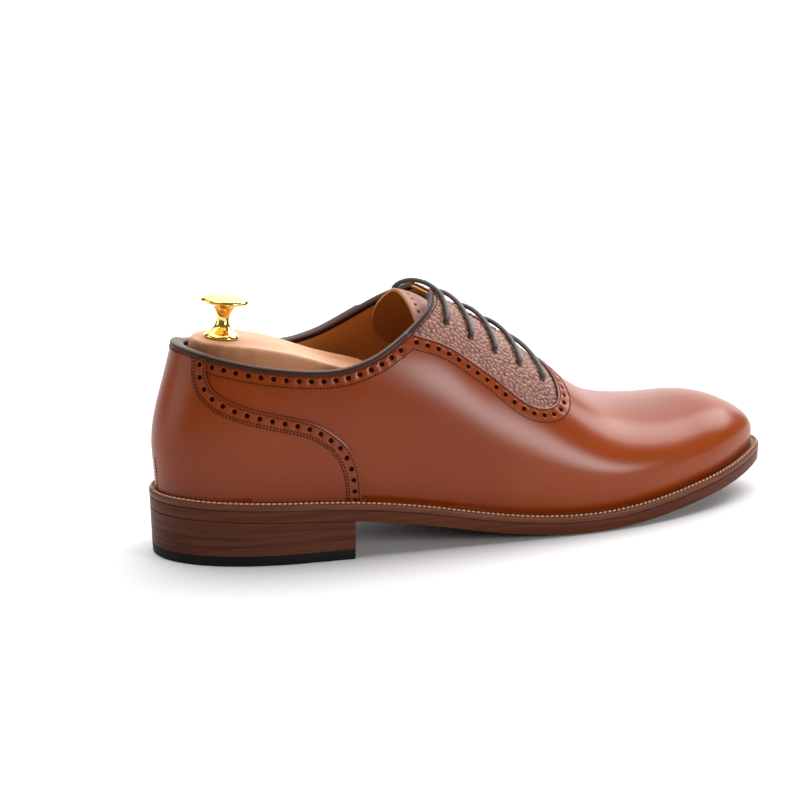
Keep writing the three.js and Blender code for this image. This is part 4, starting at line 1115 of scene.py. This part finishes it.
# %% Sums that make shader nodes
class Signal:
    tree = None

    def __init__(self, socket):
        self.socket = socket

    @classmethod
    def node(cls, kind, settings=None, inputs=None, out=0):
        made = cls.tree.nodes.new(kind)
        for key, value in (settings or {}).items():
            if key == "stops":
                ramp = made.color_ramp
                while len(ramp.elements) < len(value):
                    ramp.elements.new(0.5)
                for element, (at, colour) in zip(ramp.elements, value):
                    element.position, element.color = at, (*colour, 1)
            else:
                setattr(made, key, value)
        for key, value in (inputs or {}).items():
            if isinstance(value, Signal):
                cls.tree.links.new(value.socket, made.inputs[key])
            else:
                made.inputs[key].default_value = value
        return cls(made.outputs[out])

    def _math(self, operation, a, b):
        return Signal.node("ShaderNodeMath", {"operation": operation}, {0: a, 1: b})

    def __add__(self, other):
        return self._math("ADD", self, other)

    __radd__ = __add__

    def __sub__(self, other):
        return self._math("SUBTRACT", self, other)

    def __rsub__(self, other):
        return self._math("SUBTRACT", other, self)

    def __mul__(self, other):
        return self._math("MULTIPLY", self, other)

    __rmul__ = __mul__

    def band(self, low, high):
        """0 below one value and 1 above the other, with a soft step between."""
        return Signal.node("ShaderNodeMapRange", {"interpolation_type": "SMOOTHSTEP"},
                           {"Value": self, "From Min": low, "From Max": high})


def attribute(name):
    return Signal.node("ShaderNodeAttribute", {"attribute_name": name}, out=2)


def mix(mask, a, b, mode="MIX"):
    """Colour a where the mask is 0 and colour b where it is 1."""
    a, b = ((*c, 1) if isinstance(c, tuple) else c for c in (a, b))
    return Signal.node("ShaderNodeMix", {"data_type": "RGBA", "blend_type": mode}, {0: mask, 6: a, 7: b}, out=2)


def noise(scale, detail=3.0, stretch=(1, 1, 1), roughness=0.5):
    """Noise fixed to the piece, with its cell size set by scale in cells per metre."""
    place = Signal.node("ShaderNodeTexCoord", out=3)
    place = Signal.node("ShaderNodeMapping", None, {"Vector": place, "Scale": stretch})
    return Signal.node("ShaderNodeTexNoise", None,
                       {"Vector": place, "Scale": scale, "Detail": detail, "Roughness": roughness})


def bump(height, distance, strength=1.0, normal=None):
    inputs = {"Height": height, "Distance": distance, "Strength": strength}
    if normal is not None:
        inputs["Normal"] = normal
    return Signal.node("ShaderNodeBump", None, inputs)


def finish_for(name, build, **fixed):
    """A material whose varying sockets come from build() and whose fixed sockets are set directly."""
    material = bpy.data.materials.new(name)
    material.use_nodes = True
    Signal.tree = material.node_tree
    shader = next(n for n in material.node_tree.nodes if n.type == "BSDF_PRINCIPLED")
    for key, value in fixed.items():
        socket = shader.inputs[key.replace("_", " ")]
        socket.default_value = (*value, 1) if isinstance(value, tuple) else value
    for key, signal in (build() if build else {}).items():
        material.node_tree.links.new(signal.socket, shader.inputs[key.replace("_", " ")])
    return material


def coat_with(material, *objects):
    for obj in objects:
        obj.data.materials.clear()
        obj.data.materials.append(material)


# %% [markdown]
# ### Burnished calf
# The calf is dyed cognac and burnished by hand: warm orange in the middle of each panel, darker and browner
# toward the sole and the top edge. Cut edges are inked dark, and the floor of each punched hole is painted nearly
# black as painted shade. A light coat gives the wax shine.

# %% Calf, pebbled calf, lining and tongue


WAX = 0.5


def burnished():
    cloud = noise(14, 2)
    fine = noise(260, 2)
    rise, below = attribute("rise"), attribute("below_top")
    foot = 1 - rise.band(0.05, 0.24)
    near_top = 1 - below.band(2.0, 20.0)
    colour = mix(cloud.band(0.3, 0.7), (0.185, 0.026, 0.001), (0.23, 0.036, 0.002))
    colour = mix(foot * 0.4, colour, (0.13, 0.017, 0.002))
    colour = mix(near_top * 0.3, colour, (0.16, 0.024, 0.003))
    colour = mix(fine.band(0.35, 0.75) * 0.10, colour, (0.13, 0.018, 0.002))
    ink = attribute("cut").band(0.35, 0.95)
    colour = mix(ink * 0.85, colour, (0.055, 0.02, 0.012))
    # Painted shade: the floor of each punched hole is painted nearly black, standing in for the dark inside the
    # hole.
    inside = attribute("pit").band(0.25, 0.8)
    colour = mix(inside, colour, (0.035, 0.006, 0.003))
    grain = noise(1500, 3, roughness=0.6)
    return {"Base_Color": colour, "Roughness": 0.34 + cloud * 0.08 + inside * 0.3,
            "Coat_Weight": WAX * (1 - inside), "Normal": bump(grain, 0.00004, 0.5)}


calf = finish_for("burnished_calf", burnished, Coat_Roughness=0.28, Specular_IOR_Level=0.02)


def pebbled():
    fine = noise(900, 3)
    patch = noise(60, 2)
    colour = mix(patch.band(0.3, 0.7), (0.19, 0.062, 0.034), (0.25, 0.090, 0.052))
    # Painted shade: the leather is painted dark where the relief is low, in the valleys between the pebbles, and on
    # the underside.
    colour = mix(attribute("crease").band(0.0, 0.5), (0.045, 0.006, 0.003), colour)
    # Painted shade: the floor of each eyelet hole is painted nearly black.
    colour = mix(attribute("pit").band(0.25, 0.8), colour, (0.035, 0.006, 0.003))
    return {"Base_Color": colour, "Roughness": 0.42 + fine * 0.1, "Normal": bump(fine, 0.00005, 0.4)}


pebble_calf = finish_for("pebbled_calf", pebbled, Coat_Weight=0.12, Coat_Roughness=0.3)


def lined():
    cloud, fibre = noise(30, 3), noise(700, 4)
    colour = mix(cloud.band(0.3, 0.7), (0.78, 0.34, 0.08), (0.84, 0.40, 0.11))
    return {"Base_Color": colour, "Roughness": 0.55 + fibre * 0.15, "Normal": bump(fibre, 0.00006, 0.4)}


lining_calf = finish_for("lining_calf", lined)


def tongue_finish():
    cloud = noise(40, 3)
    outside = mix(cloud.band(0.3, 0.7), (0.27, 0.11, 0.070), (0.34, 0.15, 0.10))
    colour = mix(attribute("cut").band(0.3, 0.9), outside, (0.40, 0.16, 0.035))
    return {"Base_Color": colour, "Roughness": 0.5 + cloud * 0.1}


tongue_calf = finish_for("tongue_calf", tongue_finish)


def piped():
    fine = noise(800, 3)
    # Painted shade: the flat fold under the piping is painted darker than the piping bead.
    colour = mix(attribute("bead").band(0.1, 0.9), (0.030, 0.011, 0.007), (0.075, 0.038, 0.028))
    return {"Base_Color": colour, "Roughness": 0.42 + fine * 0.12, "Normal": bump(fine, 0.00004, 0.4)}


piping = finish_for("dark_piping", piped, Specular_IOR_Level=0.25)
thread = finish_for("dark_thread", None, Base_Color=(0.045, 0.009, 0.004), Roughness=0.6,
                    Specular_IOR_Level=0.1)
welt_thread = finish_for("light_thread", None, Base_Color=(0.52, 0.26, 0.14), Roughness=0.55)
coat_with(calf, upper, foxing)
coat_with(pebble_calf, facings)
coat_with(lining_calf, lining)
coat_with(tongue_calf, tongue)
coat_with(piping, binding)
coat_with(thread, seams)
coat_with(welt_thread, welt_seam)

# %% [markdown]
# ### Lace, sole edges, rubber, cedar and metal
# The lace is braided cotton, waxed. Sole edges are waxed leather cut across the fibres, so their streaks run
# level; the stack of lifts shows reddish lines. Cedar is pale and open grained, and the knob is polished brass.

# %% Other finishes


def braided():
    run, turn = attribute("run"), attribute("turn")
    wave = Signal.node("ShaderNodeMath", {"operation": "SINE"}, {0: run * 5.2 + turn * 12.566})
    other = Signal.node("ShaderNodeMath", {"operation": "SINE"}, {0: run * 5.2 - turn * 12.566})
    weave = Signal.node("ShaderNodeMath", {"operation": "MAXIMUM"}, {0: wave, 1: other})
    # Painted shade: the lace is painted darker in the grooves of the braid than on its ridges.
    colour = mix(weave.band(-0.6, 0.9), (0.018, 0.013, 0.011), (0.055, 0.042, 0.036))
    return {"Base_Color": colour, "Normal": bump(weave, 0.00012, 0.5)}


lace_finish = finish_for("waxed_cotton", braided, Roughness=0.42, Coat_Weight=0.1, Coat_Roughness=0.35)


def streaked(low, high, line):
    def build():
        streak = noise(34, 4, (0.5, 0.5, 14), 0.6)
        fine = noise(160, 3, (0.4, 0.4, 8))
        colour = mix(streak.band(0.35, 0.65), low, high)
        colour = mix(fine.band(0.58, 0.72) * 0.6, colour, line)
        return {"Base_Color": colour, "Roughness": 0.38 + streak * 0.15, "Normal": bump(fine, 0.00005, 0.4)}
    return build


sole_finish = finish_for("sole_edge", streaked((0.070, 0.017, 0.007), (0.10, 0.028, 0.012), (0.04, 0.009, 0.005)),
                         Specular_IOR_Level=0.1)
welt_finish = finish_for("welt_edge", streaked((0.10, 0.027, 0.011), (0.13, 0.040, 0.018), (0.05, 0.012, 0.006)),
                         Specular_IOR_Level=0.2)
stack_finish = finish_for("stacked_leather", streaked((0.058, 0.016, 0.009), (0.095, 0.029, 0.015), (0.14, 0.025, 0.009)),
                          Specular_IOR_Level=0.1)


def worn_rubber():
    fine = noise(600, 3)
    return {"Base_Color": mix(fine, (0.004, 0.0035, 0.004), (0.009, 0.008, 0.009)), "Roughness": 0.5 + fine * 0.15}


rubber_finish = finish_for("heel_rubber", worn_rubber, Specular_IOR_Level=0.12)


def sanded_cedar():
    rings = noise(34, 4, (0.22, 1.0, 1.6), 0.55)
    fine = noise(420, 3, (0.12, 1, 1))
    colour = mix(rings.band(0.35, 0.66), (0.46, 0.19, 0.075), (0.57, 0.30, 0.16))
    colour = mix(fine.band(0.5, 0.8) * 0.3, colour, (0.42, 0.18, 0.09))
    return {"Base_Color": colour, "Roughness": 0.52 + fine * 0.12, "Normal": bump(fine, 0.00005, 0.3)}


cedar = finish_for("sanded_cedar", sanded_cedar)
brass = finish_for("polished_brass", None, Base_Color=(0.93, 0.66, 0.19), Metallic=1.0, Roughness=0.12)
dark_metal = finish_for("dark_eyelet", None, Base_Color=(0.05, 0.028, 0.02), Metallic=1.0, Roughness=0.5)
steel = finish_for("plain_steel", None, Base_Color=(0.55, 0.55, 0.57), Metallic=1.0, Roughness=0.32)


def raw_leather():
    fibre = noise(300, 4)
    return {"Base_Color": mix(fibre, (0.42, 0.27, 0.15), (0.56, 0.38, 0.23)), "Roughness": 0.7 + fibre * 0.1}


raw_hide = finish_for("undyed_hide", raw_leather)


def ground_cork():
    crumb = noise(500, 2)
    return {"Base_Color": mix(crumb.band(0.3, 0.7), (0.18, 0.10, 0.05), (0.42, 0.28, 0.15)), "Roughness": 0.85 + crumb * 0.1}


cork = finish_for("ground_cork", ground_cork)
coat_with(lace_finish, lace)
coat_with(sole_finish, outsole)
coat_with(welt_finish, welt)
coat_with(stack_finish, *lifts)
coat_with(rubber_finish, rubber)
coat_with(cedar, heel_block, fore_outer, fore_inner)
coat_with(brass, knob, tube)
coat_with(steel, rod)
print("finishes:", len(bpy.data.materials))

# %% [markdown]
# ## What stands for what
# Each piece made here is listed with the workshop parts it stands for, which are hidden, and with a finish slot
# name. Parts that stay as they came, such as the cork and the stiffeners hidden between the leathers, only get
# their finish.

# %% Pieces, workshop parts and slots
NAILS = [f"heel_nail_{k}" for k in range(1, 6)]
STIFF = ["heel_stiffener", "toe_puff", "side_stiffener_lateral", "side_stiffener_medial"]
for obj, slot, nodes in [
    (upper, "upper_leather", ["vamp_and_quarters"]), (foxing, "upper_leather", ["heel_foxing"]),
    (facings, "facing_leather", ["facing_lateral", "facing_medial"]),
    (lining, "lining_leather", ["quarter_lining", "vamp_lining"]), (tongue, "tongue_leather", ["tongue"]),
    (binding, "binding_leather", ["topline_binding"]), (lace, "lace", ["lace"]),
    (outsole, "sole_leather", ["outsole"]), (welt, "sole_leather", ["welt"]),
    *[(lift, "heel_leather", [f"heel_lift_{k + 1}"]) for k, lift in enumerate(lifts)],
    (rubber, "rubber", ["rubber_top_piece"]), (heel_block, "tree_wood", ["tree_heel_block"]),
    (fore_outer, "tree_wood", ["tree_fore_lateral"]), (fore_inner, "tree_wood", ["tree_fore_medial"]),
    (knob, "brass", ["tree_knob"]), (tube, "brass", ["tree_tube"]), (rod, "steel", ["tree_rod"]),
]:
    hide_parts(*nodes)
for name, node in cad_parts.items():
    look = (cork if name == "cork_filler" else raw_hide if name in STIFF + ["insole"] else
            lining_calf if name == "sock_lining" else brass if name in NAILS else
            dark_metal if name.startswith("eyelet") else steel)
    coat_with(look, node)

# %% [markdown]
# ## Floor, light and camera
# A pale seamless floor and large soft lights keep the leather's shine broad and gentle, as in a catalogue.

# %% Stage
FLOOR = 6.0
floor = make_mesh("pale_floor", np.array([[-FLOOR, -FLOOR, 0], [FLOOR, -FLOOR, 0], [FLOOR, FLOOR, 0], [-FLOOR, FLOOR, 0]])
                  * 1000, [[0, 1, 2, 3]], smooth=0)
floor.parent = None
coat_with(finish_for("pale_floor", None, Base_Color=(0.74, 0.74, 0.74), Roughness=0.8), floor)
world = bpy.data.worlds.new("studio")
world.use_nodes = True
world.node_tree.nodes["Background"].inputs["Color"].default_value = (1, 1, 1, 1)
world.node_tree.nodes["Background"].inputs["Strength"].default_value = 0.14
bpy.context.scene.world = world


def softbox(name, place, aim, size, power):
    light = bpy.data.lights.new(name, "AREA")
    light.shape, light.size, light.size_y, light.energy = "RECTANGLE", size[0], size[1], power
    obj = bpy.data.objects.new(name, light)
    bpy.context.scene.collection.objects.link(obj)
    obj.location = place
    obj.rotation_mode = "QUATERNION"
    obj.rotation_quaternion = (Vector(aim) - Vector(place)).to_track_quat("-Z", "Y")
    return obj


softbox("overhead", (0.0, 0.6, 2.4), (0, 0.1, 0), (3.2, 3.0), 90)
softbox("key", (1.5, 0.5, 1.35), (0.05, 0, 0.05), (1.1, 1.1), 30)
softbox("front right", (1.05, -1.6, 0.60), (0.05, 0, 0.06), (0.6, 0.6), 21)
softbox("back wall", (0.8, 2.5, 1.1), (0, 0, 0.2), (3.8, 2.2), 56)
softbox("left wall", (-2.2, 0.7, 0.8), (0, 0, 0.1), (1.4, 1.6), 12)

# %% Camera
AZIMUTH, ELEVATION, DISTANCE = -23.614, 14.437, 1.5
AIM = Vector((0, 0, 0.06))
a, e = math.radians(AZIMUTH), math.radians(ELEVATION)
back = Vector((math.sin(a) * math.cos(e), -math.cos(a) * math.cos(e), math.sin(e)))
camera = bpy.data.objects.new("camera", bpy.data.cameras.new("camera"))
bpy.context.scene.collection.objects.link(camera)
camera.data.sensor_width, camera.data.lens = 36.0, 146.743
camera.data.shift_x, camera.data.shift_y = -0.0811, -0.0118
camera.location = AIM + back * DISTANCE
camera.rotation_mode = "QUATERNION"
camera.rotation_quaternion = (-back).to_track_quat("-Z", "Y")
camera.data.clip_start, camera.data.clip_end = 0.05, 30
bpy.context.scene.camera = camera
bpy.context.scene.view_settings.view_transform = "Standard"
